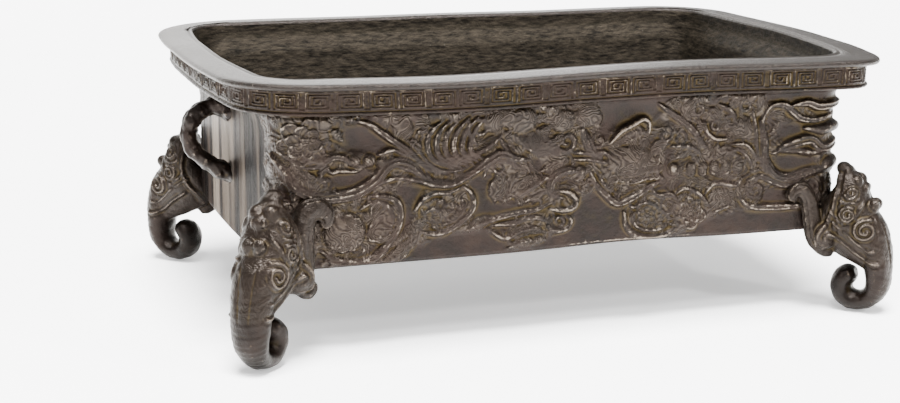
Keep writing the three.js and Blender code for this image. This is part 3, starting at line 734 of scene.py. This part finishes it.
# The back wall's right half: curls by middle, radius and turns, and stems like the front's strands.
BACK_CURLS = [(20, 112, 6, 1.5), (130, 112, 6, 1.5), (140, 78, 5, 1.4), (84, 54, 4, 1.2)]
BACK_STEMS = [
    (3.4, 3.2, 3, [(14, 86), (40, 104), (66, 88), (92, 72), (122, 90), (150, 110)]),
    (1.6, 2.2, 2, [(40, 104), (56, 114), (80, 112), (100, 104)]),
    (1.6, 2.2, 2, [(92, 72), (108, 60), (128, 58), (146, 66)]),
]


def carve_back(step):
    """The back wall, plainer: a peony between two scrolling stems with buds, leaves and small clouds."""
    r = Relief(163.0, WALL_FOOT, BAND_FOOT - 0.4, step)
    r.swirls(0.5, 0.25, 20, 31, 3.0)
    for side in (-1, 1):
        for width, height, lines, points in BACK_STEMS:
            r.stroke([(side * u, v) for u, v in points], width, height, lines)
        r.blossom(side * 66, 69, 11, 6, 2.7, 20)
        r.blossom(side * 98, 103, 11, 6, 2.7, 50)
        r.leaf(side * 44, 102, side * 70, 118, 5, 2.2, 3)
        r.leaf(side * 30, 82, side * 46, 60, 5, 2.2, 3)
        r.leaf(side * 118, 84, side * 132, 60, 5, 2.2, -3)
        for u, v, radius, turns in BACK_CURLS:
            r.stroke(spline(spiral(side * u, v, radius, 90, side * turns)), 1.2, 2.3)
    r.blossom(0, 87, 18, 7, 3.2, 10)
    return r


def folded(out, U, V):
    """Points of the flat field folded round the front wall, a distance out from it."""
    straight = WALL[0] - WALL_RADIUS
    turn = np.clip((abs(U) - straight) / WALL_RADIUS, 0, math.pi / 2)
    beyond = np.maximum(0, abs(U) - straight - WALL_RADIUS * math.pi / 2)
    radius = WALL_RADIUS + out + flare(V)
    x = np.sign(U) * (np.minimum(abs(U), straight) + radius * np.sin(turn))
    y = -(WALL[1] - WALL_RADIUS) - radius * np.cos(turn) + beyond
    depth = 1 - np.minimum(1, abs(y / (WALL[1] + out + flare(V)))) ** 2
    x += np.sign(U) * WALL_BOW * depth * (abs(x) / WALL[0]) ** 4
    return np.stack([x, y, V], -1)


def panel(name, relief, turned):
    """A carved panel: the height field folded round the wall, its borders sunk, with a back sheet."""
    U, V, h = relief.U, relief.V, blurred(relief.h, 1)
    h = h + 0.05 * flat_waves(U, V, 3.2, 41) + 0.1 * flat_waves(U, V, 11, 42)
    border = np.minimum((V - V.min()) / 1.8, (V.max() - V) / 4.0)
    border = np.minimum(np.minimum(U - U.min(), U.max() - U) / 3.0, border)
    h = -0.9 + (np.maximum(h, 0) + 1.3) * smoothstep(0, 1, border)
    front = folded(h, U, V)
    rows, cols = U.shape
    levels = np.searchsorted(relief.v, (0, 106, 112, 117, 122, 200))
    levels[-1] = rows - 1
    back = folded(np.full((len(levels), cols), -1.4), U[levels], V[levels])
    points = np.vstack([front.reshape(-1, 3), back.reshape(-1, 3)])
    faces = grid_faces(rows, cols).tolist()
    low, last = rows * cols, (rows - 1) * cols
    top = low + (len(levels) - 1) * cols
    faces += (grid_faces(len(levels), cols)[:, ::-1] + low).tolist()
    for c in range(cols - 1):
        faces.append([low + c, low + c + 1, c + 1, c])
        faces.append([last + c, last + c + 1, top + c + 1, top + c])
    sheet = [low + r * cols for r in range(len(levels))]
    faces.append([r * cols for r in range(rows)] + sheet[::-1])
    faces.append([k + cols - 1 for k in sheet] + [r * cols + cols - 1 for r in range(rows - 1, -1, -1)])
    if turned:
        points[:, :2] *= -1
    obj = make_mesh(name, warp(points), faces)
    carved = smoothstep(0.35, 0.9, relief.h) * blurred(relief.comb, 1)
    store(obj, "carved", np.r_[carved.ravel(), np.zeros(len(points) - U.size)])
    return obj


# Fret band

# The fret's cell, its lower and upper edge above the band's foot, and the way of its line through one cell.
FRET_CELL = 15.8
FRET_LOW, FRET_HIGH = 3.6, 11.6
FRET_PATH = [
    (0, 0), (0, 1), (0.9, 1), (0.9, 0), (0.14, 0), (0.14, 0.84), (0.77, 0.84), (0.77, 0.17), (0.28, 0.17),
    (0.28, 0.67), (0.63, 0.67), (0.63, 0.35), (0.44, 0.35), (0.44, 0.52),
]


def fret_height(s, v):
    """The key fret at distance s along the band and height v above its foot: square spirals in borders."""
    cell = np.floor(s / FRET_CELL)
    a = s / FRET_CELL - cell
    x = np.where(cell % 2 == 1, 1 - a, a) * FRET_CELL
    y = v - FRET_LOW
    tall, wide = FRET_HIGH - FRET_LOW, FRET_CELL - 0.6
    corners = np.array([(a * wide + 0.3, b * tall) for a, b in FRET_PATH])
    best = np.full(np.shape(x), 9.0)
    for p, q in zip(corners[:-1], corners[1:]):
        lo, hi = np.minimum(p, q), np.maximum(p, q)
        dx = np.maximum(np.maximum(lo[0] - x, x - hi[0]), 0)
        dy = np.maximum(np.maximum(lo[1] - y, y - hi[1]), 0)
        best = np.minimum(best, np.maximum(dx, dy))
    line = 1.25 * smoothstep(0.58, 0.22, best)
    inside = smoothstep(FRET_LOW - 0.6, FRET_LOW - 0.1, v) * smoothstep(FRET_HIGH + 0.7, FRET_HIGH + 0.2, v)
    edge = smoothstep(0.85, 0.4, abs(v - 12.3)) + 0.9 * smoothstep(0.75, 0.35, abs(v - 2.75))
    return 0.85 * np.maximum(line * inside, edge)


def build_band():
    """The band under the lip: its face follows the lip's plan, with the fret and two beads raised on it."""
    base = lip_plan(BAND_INSET, 0)[:, :2]
    closed = np.vstack([base, base[:1]])
    along = np.r_[0, np.cumsum(np.linalg.norm(np.diff(closed, axis=0), axis=1))]
    total = along[-1]
    count = int(total / 0.45)
    s = np.linspace(0, total, count, endpoint=False)
    x, y = np.interp(s, along, closed[:, 0]), np.interp(s, along, closed[:, 1])
    way = np.stack([np.roll(x, -2) - np.roll(x, 2), np.roll(y, -2) - np.roll(y, 2)], 1)
    way /= np.linalg.norm(way, axis=1)[:, None]
    out = np.stack([way[:, 1], -way[:, 0]], 1)
    v = np.r_[-0.2, 0.0, 0.25, 0.6, 1.0, 1.4, 1.8, np.linspace(2.1, 12.9, 25), 13.2]
    cells = round(total / FRET_CELL)
    S, Vv = np.meshgrid(s * cells * FRET_CELL / total, v)
    h = fret_height(S + 0.5 * flat_waves(S, Vv, 60, 51), Vv)
    h *= 0.75 + 0.35 * flat_waves(S, 0 * S, 45, 52)
    h += 1.25 * np.sqrt(np.clip(1 - ((Vv - 1.0) / 1.05) ** 2, 0, 1))
    h += 0.12 * flat_waves(S, Vv, 4, 53) + 0.06 * flat_waves(S, Vv, 1.8, 54)
    h[0], h[-1] = -1.5, -0.6
    grid = np.stack([x + out[:, 0] * h, y + out[:, 1] * h, BAND_FOOT + Vv], -1)
    behind = np.c_[x, y] - out * 2
    inner = np.stack([at_height(behind, BAND_FOOT + 12.9), at_height(behind, BAND_FOOT + 0.1)])
    rings = np.concatenate([grid, inner, grid[:1]])[:-1]
    rows = len(rings)
    faces = grid_faces(rows, count, True).tolist()
    last = (rows - 1) * count
    faces += [[last + i, last + (i + 1) % count, (i + 1) % count, i] for i in range(count)]
    return make_mesh("fret_band", warp(rings.reshape(-1, 3)), faces)


# Feet

# Each foot is shaped once: d outwards on the corner's diagonal, t towards the long wall, z up.
# The trunk from the brow down to its curl: d, z and radius.
TRUNK = [
    (11, 58, 7.4), (17.2, 49, 8.2), (20.2, 40, 8.3), (21.8, 31, 8.0), (22.4, 23, 7.6), (22.2, 16, 6.9),
    (19.8, 10.4, 6.0), (15, 6.8, 5.7), (9, 6.2, 5.8), (3.8, 8.4, 5.9), (1.8, 13.6, 6.1), (3.2, 18.9, 6.2),
    (7.4, 21.4, 5.4),
]
# Head sections: height at the front, rise towards the back, back, front and half width.
HEAD = [
    (23, 0.46, -10, 19, 4), (28, 0.42, -12, 23.5, 8.5), (36, 0.28, -13, 26, 11),
    (46, 0.12, -14, 24.5, 12.6), (54, 0.04, -13.5, 21.5, 13), (61, 0, -12, 17.5, 12.8),
    (66.5, 0, -8, 15.4, 12), (73, 0, -4, 12.6, 9.6), (78.5, 0, -3.6, 8.8, 7), (82, 0, -3, 5, 4),
]
# Knobs of the mask: middle and radii.
KNOBS = [
    (-0.5, 0, 82.5, 4.2, 5.4, 3.6), (2.6, 0, 81, 3.2, 6.0, 3.4), (7.5, 4.2, 75.5, 4.4, 4.2, 4.6),
    (7.5, -4.2, 75.5, 4.4, 4.2, 4.6), (10.5, 0, 71.5, 4.4, 5.5, 4.8), (18.2, 3.2, 62.5, 3.6, 3.7, 3.9),
    (18.2, -3.2, 62.5, 3.6, 3.7, 3.9), (15.5, 0, 58, 5, 6.4, 4.4),
]
# The scroll arm's way from its tip over the wall to its end curl: distance from the corner, height, radius.
# Its middle lies a distance off the wall.
ARM_OFF = 2.4
ARM_TALL = [
    (23.5, 67, 3.0), (23.4, 72, 4.2), (19.6, 75, 5), (15, 74.6, 5.2), (11.8, 70, 5.4), (10.8, 63, 5.6),
    (10.8, 57, 5.4), (11, 49, 5.4), (10, 43, 5.2), (10.5, 38.5, 4.6), (14, 36.2, 4.0), (16.4, 38.6, 3.0),
]
ARM_LOW = [
    (28, 66.5, 3.6), (27.2, 69.3, 3.8), (24, 71.6, 4.4), (20, 70.3, 4.8), (17, 65, 5.0), (15.2, 58, 5.2),
    (13.8, 51, 5.4), (12.8, 45, 5.4), (10, 39.4, 5.2), (6, 35.4, 4.8), (2.4, 33.4, 4.2), (1.6, 35.6, 3.0),
]
# Ridges on the sides of the mask: half width, height and points (d, z).
RIDGES = [
    (0.9, 1.0, [(24, 30.6), (21.5, 30.2), (17.5, 31.6), (12.5, 34.6), (8, 38.4), (3, 42), (-3, 46)]),
    (0.7, 0.7, [(21.5, 37.6), (18, 37.4), (14, 40), (10, 43.5), (5, 48)]),
    (1.1, 1.2, [(-1.5, 79), (-1.4, 71), (-2.4, 62), (-5, 53), (-9, 45), (-10, 39)]),
    (0.8, 0.8, [(13.6, 74), (14.4, 67), (12, 61), (11, 56)]),
    (0.7, 0.7, [(3.4, 53), (-0.6, 56), (-3.4, 60)]),
    (0.7, 0.7, [(1.0, 66), (4.6, 64.6), (9.0, 65.4)]),
    (0.6, 0.7, [(2.0, 50), (-1.6, 52.5), (-6, 55)]),
]
# Curls on the sides of the mask: middle (d, z), radius, start, turns, half width and height.
RIDGE_CURLS = [
    (16, 49.4, 6.4, 75, 1.7, 1.0, 1.4), (6.2, 58.2, 4.8, 60, 1.9, 0.8, 1.1),
    (7.0, 70.5, 3.4, 200, 1.5, 0.8, 1.0),
]


def ring_of(centre, half_d, half_t, z, sides=30, power=2.3):
    turn = 2 * np.pi * np.arange(sides) / sides
    c, s = np.cos(turn), np.sin(turn)
    d = centre + half_d * np.sign(c) * abs(c) ** (2 / power)
    return np.stack([d, half_t * np.sign(s) * abs(s) ** (2 / power), z(d)], 1)


def foot_form(arm_path, fullness):
    """The parts of a foot, overlapping: trunk, head, knobs and scroll arm."""
    trunk = spline(TRUNK, 1.2)
    parts = [tube(np.c_[trunk[:, 0], np.zeros(len(trunk)), trunk[:, 1]], trunk[:, 2], 22, 1.42)]
    rings = []
    for z0, tilt, back, front, half in spline(HEAD, 2.2):
        middle, reach = (back + front) / 2, (front - back) / 2
        rings.append(ring_of(middle, reach, half * 1.14, lambda d: z0 + tilt * (front - d)))
    parts.append(loft(rings))
    parts += [ellipsoid(k[:3], k[3:]) for k in KNOBS]
    arm = spline(arm_path, 1.2)
    d = (ARM_OFF - arm[:, 0]) * DIAGONAL - STAND_OFF
    t = (ARM_OFF + arm[:, 0]) * DIAGONAL
    parts.append(tube(np.c_[d, t, arm[:, 1]], arm[:, 2] * fullness, 18, 0.95, (DIAGONAL, DIAGONAL, 0)))
    parts.append(ellipsoid((-7.5, 8, 44), (8, 10, 9)))
    return make_mesh("foot_form", *joined(parts))


def chasing(points, normals):
    """How far the chased lines, furrows and dents of a foot lift each point."""
    side = smoothstep(0.25, 0.6, abs(normals[:, 1]))
    lift = np.zeros(len(points))
    ridges = [(w, h, spline(p, 0.5)) for w, h, p in RIDGES]
    ridges += [(w, h, spline(spiral(*curl), 0.5)) for *curl, w, h in RIDGE_CURLS]
    flat = points[:, [0, 2]]
    for width, height, path in ridges:
        near = np.flatnonzero(((flat > path.min(0) - 3) & (flat < path.max(0) + 3)).all(1) & (side > 0))
        gap = flat[near][:, None] - path[None]
        gap = np.sqrt((gap ** 2).sum(2).min(1))
        crest = height * np.exp(-(gap / width) ** 2)
        trough = 0.35 * height * np.exp(-((gap - 2.1 * width) / width) ** 2)
        lift[near] += (crest - trough) * side[near]
    d, t, z = points.T
    trunk_part = smoothstep(50, 42, z) * smoothstep(6, 12, d + 0.35 * (z - 20))
    lift += 0.06 * np.sin(2 * np.pi * (z + 0.5 * d) / 3.4) * trunk_part * smoothstep(-0.2, 0.5, normals[:, 0])
    groove = np.exp(-((abs(t) - 3.4 - 0.06 * (z - 35)) / 0.8) ** 2)
    groove = groove * smoothstep(26, 34, z) * smoothstep(56, 50, z)
    lift -= 0.7 * groove * smoothstep(0.3, 0.7, normals[:, 0])
    lift += 0.16 * waves(d, t, z, 5, 61) + 0.2 * waves(d, t, z, 14, 62)
    lift += 0.3 * np.cos(2 * np.pi * (d + t) / 3.1) * smoothstep(12, 16, t - 0.25 * d)
    return lift


def build_foot(arm_path, fullness, taller):
    """One foot, before it is placed: its parts fused by a voxel remesh, chased, and drawn up or down."""
    obj = foot_form(arm_path, fullness)
    skin, points = fused(obj, 6)
    bpy.data.objects.remove(obj)
    normals = read_normals(skin)
    points = points + normals * chasing(points, normals)[:, None]
    points[:, 2] += taller * smoothstep(30, 85, points[:, 2])
    points[:, 2] = np.maximum(points[:, 2], 0.0)
    return points, read_array(skin.loops, "vertex_index", 1, int).reshape(-1, 4)


def place_foot(name, sx, sy, points, faces):
    """A copy of the foot on one corner of the trough; opposite hands have their faces turned."""
    d, t, z = points.T
    carved = 0.75 * smoothstep(24, 32, z) * smoothstep(-0.5, 5, z - 0.9 * d)
    d = d + STAND_OFF
    x = sx * WALL[0] + sx * d * DIAGONAL - sx * t * DIAGONAL
    y = sy * WALL[1] + sy * d * DIAGONAL + sy * t * DIAGONAL
    obj = make_mesh(name, np.c_[x, y, z], faces if sx * sy > 0 else faces[:, ::-1])
    store(obj, "carved", carved)
    return obj


# Handles

# The handle from its upper root to its lower one: distance from the wall, height and radius.
HANDLE = [
    (-3, 112.5, 6.0), (3, 115, 5.4), (9, 114.5, 4.7), (16, 111.2, 4.4), (20.6, 105, 4.2), (21.6, 98, 4.0),
    (19.2, 91.4, 4.0), (14.4, 86.4, 4.2), (8.4, 82.0, 4.5), (2.5, 78.6, 4.8), (-3, 76.4, 4.8),
]

# Lumps of metal on a handle: distance out from the wall, place across it, height and radii.
HANDLE_LUMPS = [
    (-0.5, 0, 113, (5.2, 8.4, 6.2)), (-0.5, -7, 112, (3.6, 4.4, 4)), (-1.5, -4.5, 76.6, (4.0, 7.4, 4.2)),
    (17, -1, 110, (4.6, 4.6, 4.2)),
]


def build_handle(name, side):
    """A branch-like loop: a tube along its path with knots and bark lines, and a lump at each root."""
    path = spline(HANDLE, 0.7)
    s = np.linspace(0, 1, len(path))
    swell = 1 + 0.07 * np.sin(s * 23) + 0.06 * np.sin(s * 51 + 1)
    root = WALL[0] + WALL_BOW
    lean = -3.0 * smoothstep(0.55, 1.0, s)
    radii = path[:, 2] * swell * (1.16 - 0.14 * s)
    parts = [tube(np.c_[path[:, 0] + root, lean, path[:, 1]], radii, 26, 1.08)]
    parts += [ellipsoid((root + out, y, z), size) for out, y, z, size in HANDLE_LUMPS]
    obj = make_mesh(name, *joined(parts))
    skin, points = fused(obj, 4)
    obj.data = skin
    x, y, z = points.T
    bark = 0.3 * waves(x * 0.5, y * 2.6, z * 0.5, 7, 71) + 0.22 * waves(x, y, z, 4, 72)
    points = points + read_normals(skin) * bark[:, None]
    points[:, 0] = np.maximum(points[:, 0], root - 3)
    if side < 0:
        points[:, :1] *= -1
        skin.flip_normals()
    write_points(skin, points)
    skin.polygons.foreach_set("use_smooth", np.ones(len(skin.polygons), bool))
    return obj


# Materials

def linear(text):
    """An sRGB hex colour as linear light."""
    values = [int(text[i:i + 2], 16) / 255 for i in (1, 3, 5)]
    return [v / 12.92 if v <= 0.04045 else ((v + 0.055) / 1.055) ** 2.4 for v in values] + [1.0]


def node(tree, kind, settings=(), **links):
    """Adds a node, sets its properties and sockets, and links sockets to other nodes' outputs."""
    made = tree.nodes.new(kind)
    for key, value in dict(settings).items():
        setattr(made, key, value)
    for key, value in links.items():
        numbered = key[0] == "i" and key[1:].isdigit()
        socket = made.inputs[int(key[1:]) if numbered else key.replace("_", " ")]
        if isinstance(value, bpy.types.NodeSocket):
            tree.links.new(value, socket)
        else:
            socket.default_value = value
    return made


def maths(tree, operation, *values):
    links = {f"i{k}": value for k, value in enumerate(values)}
    return node(tree, "ShaderNodeMath", {"operation": operation}, **links).outputs[0]


def blend(tree, share, first, second):
    """The first colour, with a share of the second over it."""
    return node(tree, "ShaderNodeMix", {"data_type": "RGBA"}, i0=share, i6=first, i7=second).outputs[2]


def noise(tree, place, scale, detail, roughness, distortion=0.0):
    return node(tree, "ShaderNodeTexNoise", Vector=place, Scale=scale, Detail=detail, Roughness=roughness,
                Distortion=distortion).outputs["Fac"]


def squeezed(tree, place, sideways, upwards):
    """Coordinates scaled by one factor sideways and another upwards."""
    return node(tree, "ShaderNodeMapping", Vector=place, Scale=(sideways, sideways, upwards)).outputs[0]


def attribute(tree, name):
    return node(tree, "ShaderNodeAttribute", {"attribute_name": name}).outputs["Fac"]


def spread(tree, value, **limits):
    """A value moved from one range to another."""
    return node(tree, "ShaderNodeMapRange", Value=value, **limits).outputs[0]


def ramp(tree, value, stops):
    made = node(tree, "ShaderNodeValToRGB", i0=value)
    elements = made.color_ramp.elements
    while len(elements) < len(stops):
        elements.new(0.5)
    for element, (position, colour) in zip(elements, stops):
        element.position = position
        element.color = linear(colour) if isinstance(colour, str) else (colour, colour, colour, 1)
    return made.outputs["Color"]


def comb_lines(tree, place, colour, height, combed, worn_and_highlight):
    """Fine combed lines on the carved places: height with the lines worked in, and colour with painted shade
    in the furrows between the lines and the pale crest colour, partly painted highlight, on their ridges.
    """
    carved = attribute(tree, "carved")
    wave = maths(tree, "SINE", maths(tree, "MULTIPLY", noise(tree, place, 66.0, 2.0, 0.3, 1.1), 125.0))
    wave = spread(tree, wave, From_Min=-1.0, From_Max=1.0, To_Min=0.0, To_Max=combed)
    comb = maths(tree, "MULTIPLY", wave, carved)
    # Painted shade: the furrows between the combed lines are darkened towards near black.
    painted_furrow_shade = maths(tree, "MULTIPLY", maths(tree, "SUBTRACT", carved, comb), 0.6)
    colour = blend(tree, painted_furrow_shade, colour, linear("#1b1510"))
    colour = blend(tree, maths(tree, "MULTIPLY", comb, 0.24), colour, linear(worn_and_highlight))
    return colour, maths(tree, "MULTIPLY_ADD", comb, 1.1, height)


def painted_reflection_streaks(tree, place, colour, height):
    """Painted reflection: upright pale streaks, and broad bright and dark bars that show from the front
    towards the back.
    """
    # Painted reflection: the pale streaks and the bright and dark bars are set into the colour; the streaks
    # also raise the bump.
    lines = noise(tree, squeezed(tree, place, 1.0, 0.045), 75.0, 5.0, 0.6)
    colour = blend(tree, ramp(tree, lines, [(0.45, 0.0), (0.6, 1.0)]), colour, linear("#655d56"))
    reflection_bars = noise(tree, squeezed(tree, place, 1.0, 0.03), 44.0, 2.0, 0.5)
    reflection_bars = ramp(tree, reflection_bars, [(0.46, "#15100e"), (0.52, "#352d2a"), (0.58, "#857b71")])
    depth = node(tree, "ShaderNodeSeparateXYZ", i0=place).outputs["Y"]
    shown = spread(tree, depth, From_Min=-0.05, From_Max=0.03, To_Min=0.0, To_Max=0.7)
    return blend(tree, shown, colour, reflection_bars), maths(tree, "MULTIPLY_ADD", lines, 1.6, height)


def bronze(name, dark, middle, worn_and_highlight, earth, earth_amount=0.5, gloss=0.36, streak=False, metal=0.35, edge=0.7,
           combed=0.0, mottle=42.0, flatten=1.0, coarse=0.6):
    """Patinated bronze: dark brown skin, paler crests that are partly rubbed metal and partly painted
    highlight, earth in the hollows, and an uneven shine.
    """
    material = bpy.data.materials.new(name)
    material.use_nodes = True
    tree = material.node_tree
    tree.nodes.clear()
    place = node(tree, "ShaderNodeTexCoord").outputs["Object"]
    wear_and_highlight = attribute(tree, "wear_and_highlight")
    cloud = noise(tree, squeezed(tree, place, flatten, 1.0), mottle, 7.0, 0.68)
    grain = noise(tree, place, 420.0, 4.0, 0.65)
    fine = noise(tree, place, 1500.0, 2.0, 0.6)
    skin = blend(tree, ramp(tree, cloud, [(0.35, 0.0), (0.65, 1.0)]), linear(dark), linear(middle))
    # Pale crests: partly rubbed metal and partly painted highlight, broken into patches by the grain like
    # glints.
    rubbed_and_highlight = maths(tree, "SUBTRACT", maths(tree, "MULTIPLY_ADD", grain, 1.1, wear_and_highlight), 0.44)
    crest = ramp(tree, rubbed_and_highlight, [(0.86, 0.0), (0.98, 0.8)])
    skin = blend(tree, crest, skin, linear(worn_and_highlight))
    hollow = ramp(tree, maths(tree, "MULTIPLY_ADD", cloud, 0.7, wear_and_highlight), [(0.42, 1.0), (0.79, 0.0)])
    dirt = maths(tree, "MULTIPLY", hollow, earth_amount)
    colour = blend(tree, dirt, skin, linear(earth))
    rough = spread(tree, cloud, To_Min=gloss - 0.06, To_Max=gloss + 0.14)
    rough = maths(tree, "MULTIPLY_ADD", dirt, 0.35, rough)
    rough = maths(tree, "MULTIPLY_ADD", crest, -0.16, rough)
    height = maths(tree, "MULTIPLY_ADD", fine, 0.6, grain)
    if combed:
        colour, height = comb_lines(tree, place, colour, height, combed, worn_and_highlight)
    if streak:
        colour, height = painted_reflection_streaks(tree, place, colour, height)
    bump = node(tree, "ShaderNodeBump", Strength=coarse, Distance=0.0006, Height=height).outputs[0]
    shader = node(tree, "ShaderNodeBsdfPrincipled", Base_Color=colour, Roughness=rough, Metallic=metal,
                  Normal=bump, Specular_IOR_Level=0.4 * edge,
                  Specular_Tint=(edge, 0.98 * edge, 0.94 * edge, 1.0))
    node(tree, "ShaderNodeOutputMaterial", Surface=shader.outputs[0])
    return material


# Assembly

# In each bronze below, the third colour is the crests' colour: paler rubbed metal and painted highlight.
# Carved bronze: brown-black with grey-brown crests, painted shade in the furrows of its combed lines, and
# ochre earth caught between the motifs.
CARVED = bronze("carved_bronze_earth_and_painted_furrow_shade", "#0c0807", "#211712", "#71665a", "#42361d", 0.8, 0.29,
                metal=0.5, combed=1.0)
# The fret band: the same skin with more earth left between its lines.
FRETTED = bronze("fret_bronze_earth_between_lines", "#0e0a08", "#221812", "#665b4c", "#4a3c1c", 0.8, 0.33,
                 metal=0.5)
# Plain cast faces of the lip: glossy, so they mirror the room palely.
CAST = bronze("plain_cast_bronze_waxed", "#120e0c", "#221b17", "#2e2823", "#241e12", 0.3, 0.31,
              metal=0.6, edge=1.0, mottle=520.0, coarse=1.0)
# End walls: glossy, with upright streaks and bars of painted reflection, bright against dark.
STREAKED = bronze("end_wall_bronze_painted_reflections", "#0f0b09", "#1e1815", "#40382f", "#201a10", 0.2, 0.28,
                  streak=True, metal=0.8, edge=0.34)
# Inside: dull greenish black from water and soil.
INSIDE = bronze("rough_bronze_inside_stained", "#0a0907", "#2f2a23", "#47443c", "#28251c", 0.4, 0.5,
                metal=0.4, edge=0.3, mottle=620.0, flatten=0.22, coarse=1.0)
# The feet and handles: handled more, so darker and shinier; the feet's combed lines have painted shade in
# their furrows.
HANDLED = bronze("handled_bronze_dark_brown", "#0d0907", "#1c1410", "#5a5046", "#42361a", 0.8, 0.27,
                 metal=0.5, combed=0.32)

shell, areas = build_shell()
outward(shell)
front = panel("carved_front", carve_front(FRONT_STEP), False)
back = panel("carved_back", carve_back(BACK_STEP), True)
band = build_band()
tall, low = build_foot(ARM_TALL, 1.15, 4.0), build_foot(ARM_LOW, 0.97, -1.5)
CORNERS = {"foot_front_left": (-1, -1, tall), "foot_front_right": (1, -1, low),
           "foot_back_left": (-1, 1, low), "foot_back_right": (1, 1, tall)}
fittings = [(name, place_foot(name + "_cast", sx, sy, *form)) for name, (sx, sy, form) in CORNERS.items()]
for name, side in (("handle_left", -1), ("handle_right", 1)):
    fittings.append((name, build_handle(name + "_cast", side)))

# Rounds and scale of the crest and hollow measure, and the height below which no edge gets the full pale
# crest colour of rubbing and painted highlight.
CASTINGS = [
    (shell, CAST, 4, 1.4, BAND_FOOT + 2), (front, CARVED, 14, 0.9, WALL_FOOT + 2.5),
    (back, CARVED, 14, 0.9, WALL_FOOT + 2.5), (band, FRETTED, 14, 0.9, BAND_FOOT + 2),
]
for obj, material, rounds, scale, calm in CASTINGS:
    mark_wear_and_highlight(obj, rounds, scale, calm)
    obj.data.materials.append(material)
    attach(obj, "root")
    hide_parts("trough")
for material in (STREAKED, INSIDE, CARVED):
    shell.data.materials.append(material)
shell.data.polygons.foreach_set("material_index", areas)
for name, obj in fittings:
    mark_wear_and_highlight(obj, 18, 0.7)
    obj.data.materials.append(HANDLED)
    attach(obj, "root")
    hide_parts(name)


# Stage, light and camera

FLOOR_CORNERS = [(-6000, -3000, 0), (6000, -3000, 0), (6000, 9000, 0), (-6000, 9000, 0)]
# The camera as fitted to the rim, walls and feet: azimuth, elevation and roll in degrees, then metres, then
# pixels of the picture.
CAMERA_TURN = (-20.456, 13.181, 0.756)
CAMERA_TARGET = (-0.0074, 0, 0.0500)
CAMERA_DISTANCE = 1.06736
PICTURE_WIDTH = 900
FOCAL_PIXELS = 1832.97
SHIFT_PIXELS = -42.9
SENSOR = 36
# Soft boxes: place and target in metres, width, height and watts.
SOFT_BOXES = {
    "back_softbox": ((-0.2, 3.0, 1.0), (0, 0, 0.1), 3.6, 1.6, 90),
    "top_front_softbox": ((-0.5, -1.1, 1.5), (0, 0, 0.08), 0.45, 0.3, 24),
    "glint_lamp": ((0.9, -1.2, 0.9), (0, 0, 0.08), 0.16, 0.16, 14),
}


def make_stage():
    floor = make_mesh("studio_floor", FLOOR_CORNERS, [(0, 1, 2, 3)], False)
    material = bpy.data.materials.new("white_paper_sweep")
    material.use_nodes = True
    shader = material.node_tree.nodes["Principled BSDF"]
    shader.inputs["Base Color"].default_value = linear("#fdfdfd")
    shader.inputs["Roughness"].default_value = 0.9
    shader.inputs["Emission Color"].default_value = (1, 1, 1, 1)
    shader.inputs["Emission Strength"].default_value = 0.5
    floor.data.materials.append(material)


def add_light(name, kind, way, power):
    """A light that shines the given way."""
    data = bpy.data.lights.new(name, kind)
    data.energy = power
    obj = bpy.data.objects.new(name, data)
    obj.rotation_euler = Vector(way).to_track_quat("-Z", "Y").to_euler()
    bpy.context.scene.collection.objects.link(obj)
    return obj


def make_camera():
    azimuth, elevation, roll = map(math.radians, CAMERA_TURN)
    level = math.cos(elevation)
    back = Vector((math.sin(azimuth) * level, -math.cos(azimuth) * level, math.sin(elevation)))
    right = (-back).cross(Vector((0, 0, 1))).normalized()
    up = right.cross(-back)
    turned_right = math.cos(roll) * right + math.sin(roll) * up
    turned_up = -math.sin(roll) * right + math.cos(roll) * up
    at = Vector(CAMERA_TARGET) + back * CAMERA_DISTANCE
    data = bpy.data.cameras.new("camera")
    data.sensor_width = SENSOR
    data.lens = FOCAL_PIXELS / PICTURE_WIDTH * SENSOR
    data.shift_x = SHIFT_PIXELS / PICTURE_WIDTH
    data.clip_start, data.clip_end = 0.05, 50
    camera = bpy.data.objects.new("camera", data)
    axes = Matrix((turned_right, turned_up, back)).transposed().to_4x4()
    camera.matrix_world = Matrix.Translation(at) @ axes
    bpy.context.scene.collection.objects.link(camera)
    bpy.context.scene.camera = camera


make_stage()
make_camera()
add_light("key_overhead", "SUN", (0.06, 0.22, -1.0), 20).data.angle = math.radians(26)
for name, (at, towards, width, height, power) in SOFT_BOXES.items():
    box = add_light(name, "AREA", Vector(towards) - Vector(at), power)
    box.location = at
    box.data.shape = "RECTANGLE"
    box.data.size, box.data.size_y = width, height
world = bpy.data.worlds.new("studio_white")
world.use_nodes = True
world.node_tree.nodes["Background"].inputs["Color"].default_value = (1, 1, 1, 1)
world.node_tree.nodes["Background"].inputs["Strength"].default_value = 0.7
bpy.context.scene.world = world
